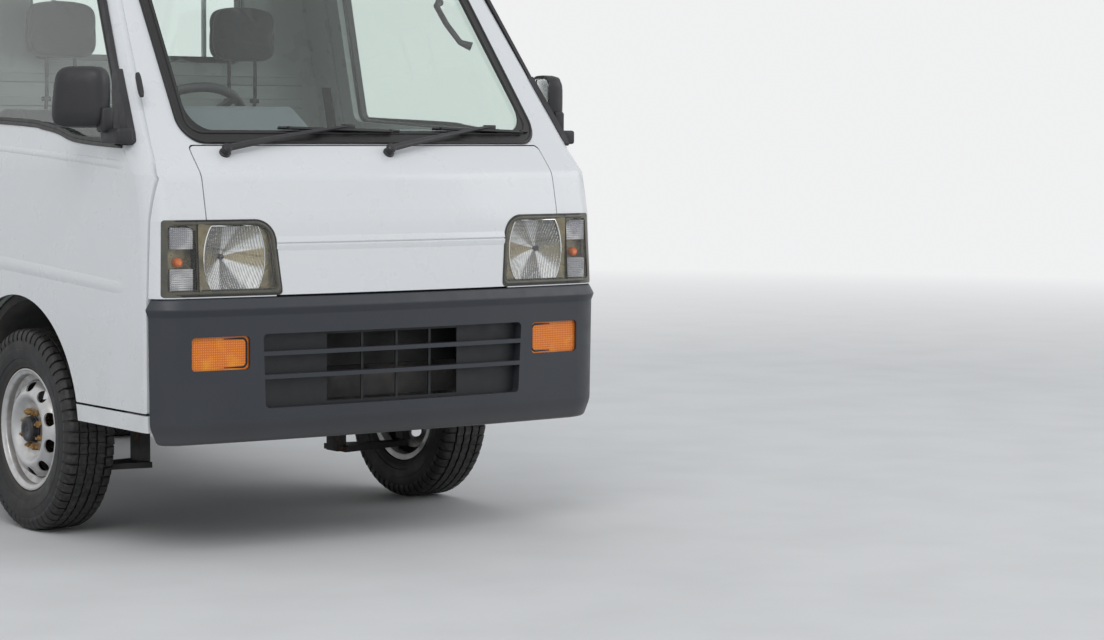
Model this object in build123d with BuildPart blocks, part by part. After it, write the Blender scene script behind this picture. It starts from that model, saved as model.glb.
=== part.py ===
from build123d import *
import os
from math import atan2, cos, radians, sin, sqrt

os.makedirs("parts", exist_ok=True)

# A small cab-over pickup in millimetres. The front is at -Y, +X is its left side, the wheels stand on z = 0.

# Whole vehicle
LENGTH = 3295
HEIGHT = 1745
BODY_HALF = 690
WHEELBASE = 1885
FRONT_AXLE_Y = -825
TRACK = 1205
FRONT_END = -LENGTH / 2
REAR_END = LENGTH / 2
REAR_AXLE_Y = FRONT_AXLE_Y + WHEELBASE
SEAT_GAP = 0.3
SHUT_GAP = 3

# Wheels
TYRE_RADIUS = 272
TYRE_WIDTH = 145
RIM_FLANGE = 165
BEAD_RADIUS = 152
WELL_RADIUS = 134
RIM_HALF = 57
RIM_WALL = 4
WHEEL_HOLES = 10
HUB_RADIUS = 36
HUB_REACH = 87
DRUM_RADIUS = 78
DRUM_INNER = -40
SPINDLE_RADIUS = 14

# Steering pivot, seen from the front
BALL_JOINT_X = 557
BALL_JOINT_Z = 175
KINGPIN_LEAN = 11.7
STRUT_RADIUS = 22
STRUT_TOP = 440

# Cab skin
NOSE_SETBACK = 13.5
BOW_RADIUS = 5600
CAB_REAR_Y = -215
SILL_Z = 330
BELT_Z = 1000
EAVES_Z = 1712
EAVES_HALF = 570
ROOF_CORNER = 90
BELT_SOFTNESS = 300
CORNER_RADIUS = 75
PILLAR_RADIUS = 45
CORNER_EASE = 0.6
SIDE_WALL = 45
FRONT_WALL = 54
ROOF_WALL = 25
BACK_WALL = 25
SKIN = 12
NOSE_Y = FRONT_END + NOSE_SETBACK
BOW_CENTRE_Y = NOSE_Y + BOW_RADIUS

# Side view of the cab on its centre line: setback behind the nose, height, corner radius
CAB_PROFILE = (
    (0, SILL_Z - 30, 0),
    (0, 668, 0),
    (12, 855, 300),
    (37, 968, 60),
    (110, 1046, 80),
    (634, 1737, 120),
    (1574, HEIGHT, 0),
    (1574, SILL_Z - 30, 0),
)
ROOF_FROM_Z = 1655
COWL_TOP_Z = 1072
DOOR_FRONT_Y = -1552
DOOR_REAR_Y = -370
DOOR_BOTTOM_Z = 375
DOOR_TOP_Z = 1630
ARCH_RADIUS = 362
REBATE = 8

# Front bumper: its path seen from above and its section as reach, height, corner radius
BUMPER_HALF = 696
BUMPER_REAR_Y = -1560
BUMPER_CORNER_X = 600
BUMPER_BOW = 25.5
BUMPER_DEPTH = 40
BUMPER_WALL = 4
BUMPER_SECTION = (
    (-40, 662, 0),
    (-14, 662, 6),
    (0, 636, 8),
    (-7, 618, 12),
    (-10, 345, 60),
    (-26, 300, 14),
    (-40, 297, 0),
)
GRILLE_TOP_Z = 570
GRILLE_BOTTOM_Z = 382
GRILLE_TOP_HALF = 400
GRILLE_BOTTOM_HALF = 392
SLAT_HEIGHTS = (520, 461)
SLAT_THICK = 11
SIGNAL_X = (443, 590)
SIGNAL_Z = (489, 561)
SIGNAL_RIM = 6

# Headlamps and lid seen from the front
LAMP_BOTTOM_Z = 670
LAMP_TOP_Z = 855
LAMP_INNER_X = 343
LAMP_OUTER_X = 662
LAMP_SPLIT_X = 570
LAMP_CORNER = 55
LAMP_FRAME = 11
LAMP_GAP = 3
LID_HALF = 541
LID_TOP_Z = 1040

# Windscreen opening seen from the front
SCREEN_BOTTOM_Z = 1050
SCREEN_TOP_Z = 1650
SCREEN_BOTTOM_HALF = 553
SCREEN_TOP_HALF = 504
SCREEN_CORNER = 60
SEAL_LAP = 30
REAR_GLASS_HALF = 355
REAR_GLASS_Z = (1280, 1600)

# Glass and seals
GLASS = 5
GLASS_INSET = 6
DOOR_GLASS_INSET = 20
SEAL_PROUD = 4
LENS = 4
LID_BOTTOM_Z = 667
NOSE_BOTTOM_Z = 664
SLAT_REACH = 30
BAR_THICK = 7
GRILLE_BARS = (-205, -96, 10, 114, 205)

# Chassis
RAIL_X = (315, 365)
RAIL_TOP_REAR = 590
RAIL_BOTTOM_REAR = 500
RAIL_TOP_FRONT = 460
RAIL_BOTTOM_FRONT = 380
RAIL_FRONT_Y = -1545
FLOOR_UNDER_Z = 470
FLOOR_THICK = 30
SEAT_BASE_Z = 690
SEAT_BASE_THICK = 52
CAVITY_RADIUS = 350
CAVITY_INNER_X = 375
LINER = 22
CABIN_HALF = BODY_HALF - SIDE_WALL - 5
PILLAR_INNER = BODY_HALF - SIDE_WALL - SEAT_GAP

# Bed
BED_FRONT_Y = -190
BED_TOP_Z = 662
BED_SHEET = 12
BED_HALF = 655
GATE_THICK = 28
GATE_TOP_Z = 945
GATE_BOTTOM_Z = 665
BED_RAIL_X = (640, 684)
BED_RAIL_TOP = 648
HINGE_OFFSET = 8
BARREL_RADIUS = 6.5
PIN_RADIUS = 3.5
BARREL_LENGTH = 60


def save(piece, label):
    """Writes one finished piece."""
    piece.part.label = label
    export_step(piece.part, f"parts/{label}.step")


def save_pair(piece, label):
    """Writes the left-hand piece and its mirror image for the right."""
    save(piece, label + "_left")
    with BuildPart() as other:
        add(mirror(piece.part, about=Plane.YZ, mode=Mode.PRIVATE))
    save(other, label + "_right")


def slab(x_span, y_span, z_span, mode=Mode.ADD):
    """A block between two values on each axis."""
    spans = (x_span, y_span, z_span)
    with Locations(tuple(sum(span) / 2 for span in spans)):
        Box(*[high - low for low, high in spans], mode=mode)


def rod(start, end, radius, mode=Mode.ADD):
    """A round bar between two points."""
    run = Vector(*end) - Vector(*start)
    with BuildSketch(Plane(origin=start, z_dir=run)) as section:
        Circle(radius)
    extrude(section.sketch, amount=run.length, mode=mode)


def outline(points):
    """A closed face through rows of two coordinates and a corner radius."""
    with BuildLine() as edge:
        FilletPolyline(
            *[row[:2] for row in points], radius=[row[2] for row in points], close=True
        )
    make_face(edge.edges())


def nose_setback(height):
    """Distance of the cab's front behind its nose at a height."""
    for (near, low, _), (far, high, _) in zip(CAB_PROFILE, CAB_PROFILE[1:]):
        if low <= height <= high:
            return near + (far - near) * (height - low) / (high - low)
    return CAB_PROFILE[-2][0]


def side_half(height):
    """Half width of the cab at a height."""
    lean = (BODY_HALF - EAVES_HALF) / (EAVES_Z - BELT_Z)
    return BODY_HALF - max(0, height - BELT_Z) * lean


def corner_wedge(height, radius, side, front, sign):
    """Plan view of what the rounded front corner takes off at a height."""
    bow = BOW_CENTRE_Y - NOSE_Y - nose_setback(height) - front + CORNER_EASE
    half = side_half(height) - side + CORNER_EASE
    centre_x = half - radius
    centre_y = BOW_CENTRE_Y - sqrt((bow - radius) ** 2 - centre_x**2)
    grow = bow / (bow - radius)
    front_x = centre_x * grow
    front_y = BOW_CENTRE_Y + (centre_y - BOW_CENTRE_Y) * grow
    half_turn = atan2(front_y - centre_y, front_x - centre_x) / 2
    middle = (centre_x + radius * cos(half_turn), centre_y + radius * sin(half_turn))
    beyond = 40
    with BuildSketch(Plane.XY.offset(height)) as view:
        with BuildLine():
            ThreePointArc(
                (sign * half, centre_y),
                (sign * middle[0], middle[1]),
                (sign * front_x, front_y),
            )
            Polyline(
                (sign * front_x, front_y),
                (sign * front_x, front_y - beyond),
                (sign * (half + beyond), front_y - beyond),
                (sign * (half + beyond), centre_y),
                (sign * half, centre_y),
            )
        make_face()
    return view.sketch


def cab_form(side=0, front=0, roof=0, back=0):
    """The cab as one closed block, each outer surface moved inwards by an amount."""
    sweep = 11
    bow_plane = Plane(
        origin=(0, BOW_CENTRE_Y, 0),
        x_dir=(sin(radians(sweep)), cos(radians(sweep)), 0),
        z_dir=(cos(radians(sweep)), -sin(radians(sweep)), 0),
    )
    profile = [
        (
            setback - BOW_RADIUS + (front if setback < 1000 else 0),
            height - (roof if height > ROOF_FROM_Z else 0),
            radius,
        )
        for setback, height, radius in CAB_PROFILE
    ]
    half = BODY_HALF - side
    eaves_half = EAVES_HALF - side
    eaves = EAVES_Z - roof
    with BuildPart() as form:
        with BuildSketch(bow_plane):
            outline(profile)
        revolve(axis=Axis((0, BOW_CENTRE_Y, 0), (0, 0, 1)), revolution_arc=2 * sweep)
        with BuildSketch(Plane.XZ) as front_view:
            with BuildLine():
                Polyline(
                    (-eaves_half, eaves),
                    (-half, BELT_Z),
                    (-half, SILL_Z),
                    (half, SILL_Z),
                    (half, BELT_Z),
                    (eaves_half, eaves),
                )
                ThreePointArc(
                    (eaves_half, eaves), (0, HEIGHT - roof), (-eaves_half, eaves)
                )
            make_face()
            by_height = front_view.vertices().group_by(Axis.Y)
            fillet(by_height[1], radius=BELT_SOFTNESS)
            fillet(front_view.vertices().group_by(Axis.Y)[-1], radius=ROOF_CORNER)
        extrude(amount=LENGTH, both=True, mode=Mode.INTERSECT)
        split(bisect_by=Plane.XZ.offset(back - CAB_REAR_Y), keep=Keep.TOP)
        for sign in (-1, 1):
            wedges = [
                corner_wedge(height, radius - side / 2, side, front, sign)
                for height, radius in (
                    (SILL_Z - 30, CORNER_RADIUS),
                    (668, CORNER_RADIUS),
                    (855, CORNER_RADIUS),
                    (968, CORNER_RADIUS),
                    (1046, CORNER_RADIUS),
                    (1736, PILLAR_RADIUS),
                )
            ]
            loft(wedges, ruled=True, mode=Mode.SUBTRACT)
    return form.part


def door_edge(grow=0):
    """Side view of a door, its edges moved outwards by an amount, with the wheel arch cut."""
    with BuildSketch(Plane.YZ) as view:
        outline(
            (
                (DOOR_FRONT_Y, DOOR_BOTTOM_Z, 8),
                (DOOR_REAR_Y, DOOR_BOTTOM_Z, 12),
                (DOOR_REAR_Y, DOOR_TOP_Z, 40),
                (-1054, DOOR_TOP_Z, 60),
                (-1462, COWL_TOP_Z, 20),
                (DOOR_FRONT_Y, 962, 20),
            )
        )
        with Locations((FRONT_AXLE_Y, TYRE_RADIUS)):
            Circle(ARCH_RADIUS, mode=Mode.SUBTRACT)
        if grow:
            offset(amount=grow, kind=Kind.INTERSECTION, mode=Mode.REPLACE)
    return view.sketch


def window_edge(shrink=0):
    """Side view of the window in a door."""
    with BuildSketch(Plane.YZ) as view:
        outline(
            (
                (-1428, 1052, 18),
                (-1150, 1052, 60),
                (-1000, 1080, 60),
                (-442, 1106, 30),
                (-442, 1588, 40),
                (-1056, 1588, 60),
            )
        )
        if shrink:
            offset(amount=-shrink, mode=Mode.REPLACE)
    return view.sketch


def screen_edge(shrink=0, top=SCREEN_TOP_Z):
    """Front view of the windscreen opening."""
    with BuildSketch(Plane.XZ) as view:
        outline(
            (
                (-SCREEN_BOTTOM_HALF + shrink, SCREEN_BOTTOM_Z + shrink, SCREEN_CORNER),
                (SCREEN_BOTTOM_HALF - shrink, SCREEN_BOTTOM_Z + shrink, SCREEN_CORNER),
                (SCREEN_TOP_HALF - shrink, top - shrink, SCREEN_CORNER),
                (-SCREEN_TOP_HALF + shrink, top - shrink, SCREEN_CORNER),
            )
        )
    return view.sketch


def lamp_edge(shrink=0, inner=LAMP_INNER_X, outer=LAMP_OUTER_X):
    """Front view of the left headlamp."""
    with BuildSketch(Plane.XZ) as view:
        outline(
            (
                (inner + shrink, LAMP_BOTTOM_Z + shrink, 10),
                (outer - shrink, LAMP_BOTTOM_Z + shrink, 8),
                (outer - 6 - shrink, LAMP_TOP_Z - shrink, 8),
                (inner + 18 + shrink, LAMP_TOP_Z - shrink, LAMP_CORNER - shrink),
            )
        )
    return view.sketch


# Envelopes of the cab that the panels, glass and lamps are cut from
outer_form = cab_form()
with BuildPart() as side_core:
    with BuildSketch(Plane.XZ):
        with BuildLine():
            Polyline(
                (-BODY_HALF + SIDE_WALL, SILL_Z - 60),
                (BODY_HALF - SIDE_WALL, SILL_Z - 60),
                (BODY_HALF - SIDE_WALL, BELT_Z),
                (EAVES_HALF - SIDE_WALL, EAVES_Z - ROOF_WALL),
                (0, HEIGHT - ROOF_WALL),
                (-EAVES_HALF + SIDE_WALL, EAVES_Z - ROOF_WALL),
                (-BODY_HALF + SIDE_WALL, BELT_Z),
                close=True,
            )
        make_face()
    extrude(amount=LENGTH, both=True)
with BuildPart() as cabin:
    with BuildSketch(Plane.YZ):
        with BuildLine():
            Polyline(
                *[
                    (
                        min(NOSE_Y + setback + FRONT_WALL, CAB_REAR_Y - BACK_WALL),
                        height if height < HEIGHT else ROOF_FROM_Z + ROOF_CORNER,
                    )
                    for setback, height, _ in CAB_PROFILE
                ],
                close=True,
            )
        make_face()
    extrude(amount=LENGTH, both=True)
    add(side_core.part, mode=Mode.INTERSECT)
inner_form = cabin.part
skin_form = cab_form(SKIN, SKIN, SKIN, SKIN)
with BuildPart() as cab_shell:
    add(outer_form)
    add(inner_form, mode=Mode.SUBTRACT)
BACK_SPLIT_Y = CAB_REAR_Y - BACK_WALL - 5
FRONT_OF_CAB = FRONT_END - 60
NOSE_BACK_Y = -1400

# Roof
with BuildPart() as roof_panel:
    add(cab_shell.part)
    slab((-BODY_HALF, BODY_HALF), (FRONT_OF_CAB, 0), (ROOF_FROM_Z, HEIGHT), mode=Mode.INTERSECT)
save(roof_panel, "roof_panel")

# Back wall with its window
with BuildPart() as cab_back:
    add(cab_shell.part)
    slab((-BODY_HALF, BODY_HALF), (BACK_SPLIT_Y, 0), (SILL_Z + 230, ROOF_FROM_Z), mode=Mode.INTERSECT)
    with BuildSketch(Plane.XZ.offset(-CAB_REAR_Y)):
        with Locations((0, sum(REAR_GLASS_Z) / 2)):
            RectangleRounded(2 * REAR_GLASS_HALF, REAR_GLASS_Z[1] - REAR_GLASS_Z[0], 40)
    extrude(amount=100, both=True, mode=Mode.SUBTRACT)
save(cab_back, "cab_back")

# Door frames, pillars and sills
with BuildPart() as door_space:
    extrude(door_edge(SHUT_GAP), amount=BODY_HALF, both=True)
    add(side_core.part, mode=Mode.SUBTRACT)
with BuildPart() as cab_side:
    add(cab_shell.part)
    slab((0, BODY_HALF), (FRONT_OF_CAB, BACK_SPLIT_Y), (SILL_Z, ROOF_FROM_Z), mode=Mode.INTERSECT)
    extrude(screen_edge(top=ROOF_FROM_Z + SCREEN_CORNER), amount=LENGTH, both=True, mode=Mode.SUBTRACT)
    add(door_space.part, mode=Mode.SUBTRACT)
    with BuildSketch(Plane.YZ):
        with Locations((FRONT_AXLE_Y, TYRE_RADIUS)):
            Circle(ARCH_RADIUS)
    extrude(amount=BODY_HALF, mode=Mode.SUBTRACT)
    slab(
        (0, BODY_HALF), (FRONT_OF_CAB, NOSE_BACK_Y), (DOOR_BOTTOM_Z - SHUT_GAP, COWL_TOP_Z), mode=Mode.SUBTRACT
    )
    slab((0, BODY_HALF), (FRONT_OF_CAB, DOOR_FRONT_Y), (SILL_Z, COWL_TOP_Z), mode=Mode.SUBTRACT)
    slab((0, CABIN_HALF), (FRONT_OF_CAB, NOSE_BACK_Y), (SILL_Z, COWL_TOP_Z), mode=Mode.SUBTRACT)
save_pair(cab_side, "cab_side")

# Doors, hollowed by a rebate so that the thick inner part clears the frame as it swings
with BuildPart() as door:
    extrude(door_edge(-SHUT_GAP), amount=BODY_HALF)
    add(outer_form, mode=Mode.INTERSECT)
    add(side_core.part, mode=Mode.SUBTRACT)
    with BuildPart(mode=Mode.PRIVATE) as rebate:
        extrude(door_edge(SHUT_GAP), amount=BODY_HALF)
        extrude(door_edge(-SHUT_GAP - REBATE), amount=BODY_HALF, mode=Mode.SUBTRACT)
        add(skin_form, mode=Mode.INTERSECT)
    add(rebate.part, mode=Mode.SUBTRACT)
    extrude(window_edge(), amount=BODY_HALF, mode=Mode.SUBTRACT)
save_pair(door, "door")

# Nose panel, its lid and the holes for the lamps
def lid_edge(grow=0):
    """Front view of the lid between and above the headlamps."""
    with BuildSketch(Plane.XZ) as view:
        outline(
            [
                (sign * (half + grow), height, radius)
                for sign, rows in (
                    (
                        1,
                        (
                            (LAMP_INNER_X + 12, LID_BOTTOM_Z - grow, 0),
                            (LAMP_INNER_X + 12, LAMP_TOP_Z - 60, 0),
                            (LID_HALF, LAMP_TOP_Z - 60, 0),
                            (LID_HALF, LID_TOP_Z + grow, 14),
                        ),
                    ),
                    (
                        -1,
                        (
                            (LID_HALF, LID_TOP_Z + grow, 14),
                            (LID_HALF, LAMP_TOP_Z - 60, 0),
                            (LAMP_INNER_X + 12, LAMP_TOP_Z - 60, 0),
                            (LAMP_INNER_X + 12, LID_BOTTOM_Z - grow, 0),
                        ),
                    ),
                )
                for half, height, radius in rows
            ]
        )
    return view.sketch


with BuildPart() as lamp_holes:
    extrude(lamp_edge(-LAMP_GAP), amount=LENGTH, both=True)
    mirror(about=Plane.YZ)

with BuildPart() as nose_zone:
    add(cab_shell.part)
    slab(
        (-BODY_HALF, BODY_HALF), (FRONT_OF_CAB, NOSE_BACK_Y), (NOSE_BOTTOM_Z, COWL_TOP_Z), mode=Mode.INTERSECT
    )
    add(door_space.part, mode=Mode.SUBTRACT)

with BuildPart() as front_panel:
    add(nose_zone.part)
    extrude(screen_edge(), amount=LENGTH, both=True, mode=Mode.SUBTRACT)
    extrude(lid_edge(SHUT_GAP), amount=LENGTH, both=True, mode=Mode.SUBTRACT)
    add(lamp_holes.part, mode=Mode.SUBTRACT)
    slab((-560, 560), (NOSE_Y + FRONT_WALL, NOSE_Y + FRONT_WALL + 18), (600, LAMP_BOTTOM_Z - LAMP_GAP))
save(front_panel, "front_panel")

with BuildPart() as front_lid:
    add(nose_zone.part)
    extrude(lid_edge(), amount=LENGTH, both=True, mode=Mode.INTERSECT)
    add(lamp_holes.part, mode=Mode.SUBTRACT)
save(front_lid, "front_lid")

# Glass, following the bowed and leaning surfaces
glass_outer = cab_form(front=GLASS_INSET)
glass_inner = cab_form(front=GLASS_INSET + GLASS)
with BuildPart() as cab_glass:
    extrude(screen_edge(SEAT_GAP), amount=LENGTH, both=True)
    add(glass_outer, mode=Mode.INTERSECT)
    add(glass_inner, mode=Mode.SUBTRACT)
    slab((-BODY_HALF, BODY_HALF), (FRONT_OF_CAB, -900), (SILL_Z, HEIGHT), mode=Mode.INTERSECT)
    with BuildSketch(Plane.XZ.offset(-CAB_REAR_Y + GLASS_INSET)):
        with Locations((0, sum(REAR_GLASS_Z) / 2)):
            RectangleRounded(
                2 * (REAR_GLASS_HALF - SEAT_GAP), REAR_GLASS_Z[1] - REAR_GLASS_Z[0] - 2 * SEAT_GAP, 40
            )
    extrude(amount=GLASS)
save(cab_glass, "cab_glass")

proud_form = cab_form(front=-SEAL_PROUD)
clear_form = cab_form(-SEAT_GAP, -SEAT_GAP, -SEAT_GAP)
with BuildPart() as cab_glass_seals:
    extrude(screen_edge(-4), amount=LENGTH, both=True)
    extrude(screen_edge(SEAL_LAP), amount=LENGTH, both=True, mode=Mode.SUBTRACT)
    add(proud_form, mode=Mode.INTERSECT)
    add(clear_form, mode=Mode.SUBTRACT)
    slab((-BODY_HALF, BODY_HALF), (FRONT_OF_CAB, -900), (SILL_Z, HEIGHT), mode=Mode.INTERSECT)
    with BuildSketch(Plane.XZ.offset(-CAB_REAR_Y - SEAL_PROUD)):
        with Locations((0, sum(REAR_GLASS_Z) / 2)):
            RectangleRounded(2 * REAR_GLASS_HALF + 20, REAR_GLASS_Z[1] - REAR_GLASS_Z[0] + 20, 50)
            RectangleRounded(
                2 * REAR_GLASS_HALF - 40, REAR_GLASS_Z[1] - REAR_GLASS_Z[0] - 40, 30, mode=Mode.SUBTRACT
            )
    extrude(amount=SEAL_PROUD)
save(cab_glass_seals, "cab_glass_seals")

door_glass_outer = cab_form(side=DOOR_GLASS_INSET)
door_glass_inner = cab_form(side=DOOR_GLASS_INSET + GLASS)
with BuildPart() as door_glass:
    extrude(window_edge(SEAT_GAP), amount=BODY_HALF)
    add(door_glass_outer, mode=Mode.INTERSECT)
    add(door_glass_inner, mode=Mode.SUBTRACT)
save_pair(door_glass, "door_glass")

# Headlamps: aged frame, dished reflector and clear lens, the corner part divided off
lens_outer = cab_form(1, 1, 1, 1)
lens_inner = cab_form(1 + LENS, 1 + LENS, 1 + LENS, 1 + LENS)
with BuildPart() as headlamp_frames:
    extrude(lamp_edge(-LAMP_GAP + SEAT_GAP), amount=LENGTH, both=True)
    extrude(lamp_edge(LAMP_FRAME, outer=LAMP_SPLIT_X + 7), amount=LENGTH, both=True, mode=Mode.SUBTRACT)
    extrude(lamp_edge(LAMP_FRAME, inner=LAMP_SPLIT_X - 32), amount=LENGTH, both=True, mode=Mode.SUBTRACT)
    add(cab_form(-1, -1), mode=Mode.INTERSECT)
    add(inner_form, mode=Mode.SUBTRACT)
    slab((0, BODY_HALF), (FRONT_OF_CAB, DOOR_FRONT_Y - 6), (SILL_Z, HEIGHT), mode=Mode.INTERSECT)
    mirror(about=Plane.YZ)
save(headlamp_frames, "headlamp_frames")

with BuildPart() as headlamp_lenses:
    extrude(lamp_edge(LAMP_FRAME + SEAT_GAP, outer=LAMP_SPLIT_X + 7), amount=LENGTH, both=True)
    extrude(lamp_edge(LAMP_FRAME + SEAT_GAP, inner=LAMP_SPLIT_X - 32), amount=LENGTH, both=True)
    add(lens_outer, mode=Mode.INTERSECT)
    add(lens_inner, mode=Mode.SUBTRACT)
    slab((0, BODY_HALF), (FRONT_OF_CAB, DOOR_FRONT_Y - 6), (SILL_Z, HEIGHT), mode=Mode.INTERSECT)
    mirror(about=Plane.YZ)
save(headlamp_lenses, "headlamp_lenses")

REFLECTOR_Y = NOSE_Y + FRONT_WALL + 12
with BuildPart() as headlamp_reflectors:
    extrude(lamp_edge(LAMP_FRAME / 2), amount=LENGTH, both=True)
    slab((0, CABIN_HALF), (REFLECTOR_Y, REFLECTOR_Y + 10), (SILL_Z, HEIGHT), mode=Mode.INTERSECT)
    mirror(about=Plane.YZ)
save(headlamp_reflectors, "headlamp_reflectors")

# Front bumper, a hollow moulding swept round the nose with a deep collar at each opening
with BuildLine() as bumper_path:
    bow = ThreePointArc(
        (-BUMPER_CORNER_X, FRONT_END + BUMPER_BOW),
        (0, FRONT_END),
        (BUMPER_CORNER_X, FRONT_END + BUMPER_BOW),
    )
    TangentArc(bow @ 1, (BUMPER_HALF, BUMPER_REAR_Y), tangent=bow % 1)
    TangentArc(bow @ 0, (-BUMPER_HALF, BUMPER_REAR_Y), tangent=(bow % 0) * -1)


def bumper_sweep(rows):
    """A section of reach, height and radius carried round the bumper's path."""
    start = bumper_path.wires()[0]
    heading = start % 0
    with BuildPart() as swept:
        with BuildSketch(
            Plane(origin=start @ 0, x_dir=heading.cross(Vector(0, 0, 1)), z_dir=heading * -1)
        ) as section:
            outline(rows)
        sweep(section.sketch, path=start)
    return swept.part


def bumper_band(inner, outer):
    """A tall band that follows the bumper between two reaches."""
    return bumper_sweep(((inner, 290, 0), (outer, 290, 0), (outer, 670, 0), (inner, 670, 0)))


def grille_edge(grow=0):
    """Front view of the air opening in the bumper."""
    with BuildSketch(Plane.XZ) as view:
        outline(
            (
                (-GRILLE_BOTTOM_HALF - grow, GRILLE_BOTTOM_Z - grow, 12),
                (GRILLE_BOTTOM_HALF + grow, GRILLE_BOTTOM_Z - grow, 12),
                (GRILLE_TOP_HALF + grow, GRILLE_TOP_Z + grow, 12),
                (-GRILLE_TOP_HALF - grow, GRILLE_TOP_Z + grow, 12),
            )
        )
    return view.sketch


def signal_edge(grow=0):
    """Front view of the pair of turn signals."""
    with BuildSketch(Plane.XZ) as view:
        for sign in (-1, 1):
            with Locations((sign * sum(SIGNAL_X) / 2, sum(SIGNAL_Z) / 2)):
                RectangleRounded(
                    SIGNAL_X[1] - SIGNAL_X[0] + 2 * grow, SIGNAL_Z[1] - SIGNAL_Z[0] + 2 * grow, 10
                )
    return view.sketch


solid_bumper = bumper_sweep(BUMPER_SECTION)
bumper_hollow = bumper_sweep(
    (
        (-BUMPER_DEPTH - 20, 662 - BUMPER_WALL, 0),
        (-16, 662 - BUMPER_WALL, 4),
        (-5, 636, 5),
        (-12, 617, 8),
        (-15, 345, 50),
        (-29, 300 + BUMPER_WALL, 10),
        (-BUMPER_DEPTH - 20, 297 + BUMPER_WALL, 0),
    )
)
with BuildPart() as collars:
    extrude(grille_edge(BUMPER_WALL), amount=LENGTH, both=True)
    extrude(signal_edge(SIGNAL_RIM + BUMPER_WALL), amount=LENGTH, both=True)
    add(solid_bumper, mode=Mode.INTERSECT)
with BuildPart() as slats:
    with BuildSketch(Plane.XZ):
        for height in SLAT_HEIGHTS:
            with Locations((0, height)):
                Rectangle(2 * GRILLE_TOP_HALF, SLAT_THICK)
    extrude(amount=LENGTH, both=True)
    add(solid_bumper, mode=Mode.INTERSECT)
    add(bumper_band(-90, -SLAT_REACH), mode=Mode.SUBTRACT)
with BuildPart() as front_bumper:
    add(solid_bumper)
    add(bumper_hollow, mode=Mode.SUBTRACT)
    split(bisect_by=Plane.XZ.offset(-BUMPER_REAR_Y), keep=Keep.TOP)
    add(collars.part)
    extrude(grille_edge(), amount=LENGTH, both=True, mode=Mode.SUBTRACT)
    extrude(signal_edge(SIGNAL_RIM), amount=LENGTH, both=True, mode=Mode.SUBTRACT)
    add(slats.part)
    for sign in (-1, 1):
        stay_x = sorted((sign * (RAIL_X[0] + 10), sign * (RAIL_X[1] - 10)))
        slab(stay_x, (FRONT_END + 20, RAIL_FRONT_Y), (350, GRILLE_BOTTOM_Z - 2))
        slab(stay_x, (RAIL_FRONT_Y - 30, RAIL_FRONT_Y), (350, RAIL_TOP_FRONT - 20))
save(front_bumper, "front_bumper")

with BuildPart() as turn_signals:
    extrude(signal_edge(SIGNAL_RIM - SEAT_GAP), amount=LENGTH, both=True)
    add(bumper_band(-36, -16), mode=Mode.INTERSECT)
save(turn_signals, "turn_signals")

with BuildPart() as grille_insert:
    extrude(grille_edge(-SEAT_GAP), amount=LENGTH, both=True)
    add(bumper_band(-39, -35), mode=Mode.INTERSECT)
    with BuildSketch(Plane.XZ):
        for low, high in zip(GRILLE_BARS, GRILLE_BARS[1:]):
            with Locations(((low + high) / 2, (GRILLE_TOP_Z + GRILLE_BOTTOM_Z) / 2)):
                Rectangle(high - low - BAR_THICK, GRILLE_TOP_Z - GRILLE_BOTTOM_Z - 16)
    extrude(amount=LENGTH, both=True, mode=Mode.SUBTRACT)
save(grille_insert, "grille_insert")

# Ladder frame: two kicked-up rails, cross members and the outriggers under the bed
RAIL_PATH = (
    (RAIL_FRONT_Y, RAIL_BOTTOM_FRONT),
    (-330, RAIL_BOTTOM_FRONT),
    (-80, RAIL_BOTTOM_REAR),
    (1600, RAIL_BOTTOM_REAR),
    (1600, RAIL_TOP_REAR),
    (-150, RAIL_TOP_REAR),
    (-400, RAIL_TOP_FRONT),
    (RAIL_FRONT_Y, RAIL_TOP_FRONT),
)
CROSS_MEMBERS = (
    # y, low z, high z
    (-1520, 390, 450),
    (-760, 390, 440),
    (140, 520, 570),
    (700, 520, 570),
    (1575, 520, 570),
)
OUTRIGGERS = (-100, 420, 1480)
with BuildPart() as chassis_frame:
    with BuildSketch(Plane.YZ.offset(RAIL_X[0])):
        with BuildLine():
            Polyline(*RAIL_PATH, close=True)
        make_face()
    extrude(amount=RAIL_X[1] - RAIL_X[0])
    mirror(about=Plane.YZ)
    for y, low, high in CROSS_MEMBERS:
        slab((-RAIL_X[0] - 5, RAIL_X[0] + 5), (y - 20, y + 20), (low, high))
    for y in OUTRIGGERS:
        for sign in (-1, 1):
            with BuildSketch(Plane.XZ.offset(-y)):
                with BuildLine():
                    Polyline(
                        (sign * (RAIL_X[1] - 5), RAIL_TOP_REAR),
                        (sign * BED_RAIL_X[0], RAIL_TOP_REAR),
                        (sign * BED_RAIL_X[0], RAIL_TOP_REAR - 20),
                        (sign * (RAIL_X[1] - 5), RAIL_BOTTOM_REAR + 15),
                        close=True,
                    )
                make_face()
            extrude(amount=15, both=True)
    for y in (-1450, -1250, -480):
        for sign in (-1, 1):
            with BuildSketch(Plane.XY.offset(RAIL_TOP_FRONT)):
                with Locations((sign * sum(RAIL_X) / 2, y)):
                    Circle(22)
            extrude(amount=FLOOR_UNDER_Z - RAIL_TOP_FRONT)
save(chassis_frame, "chassis_frame")

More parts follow.
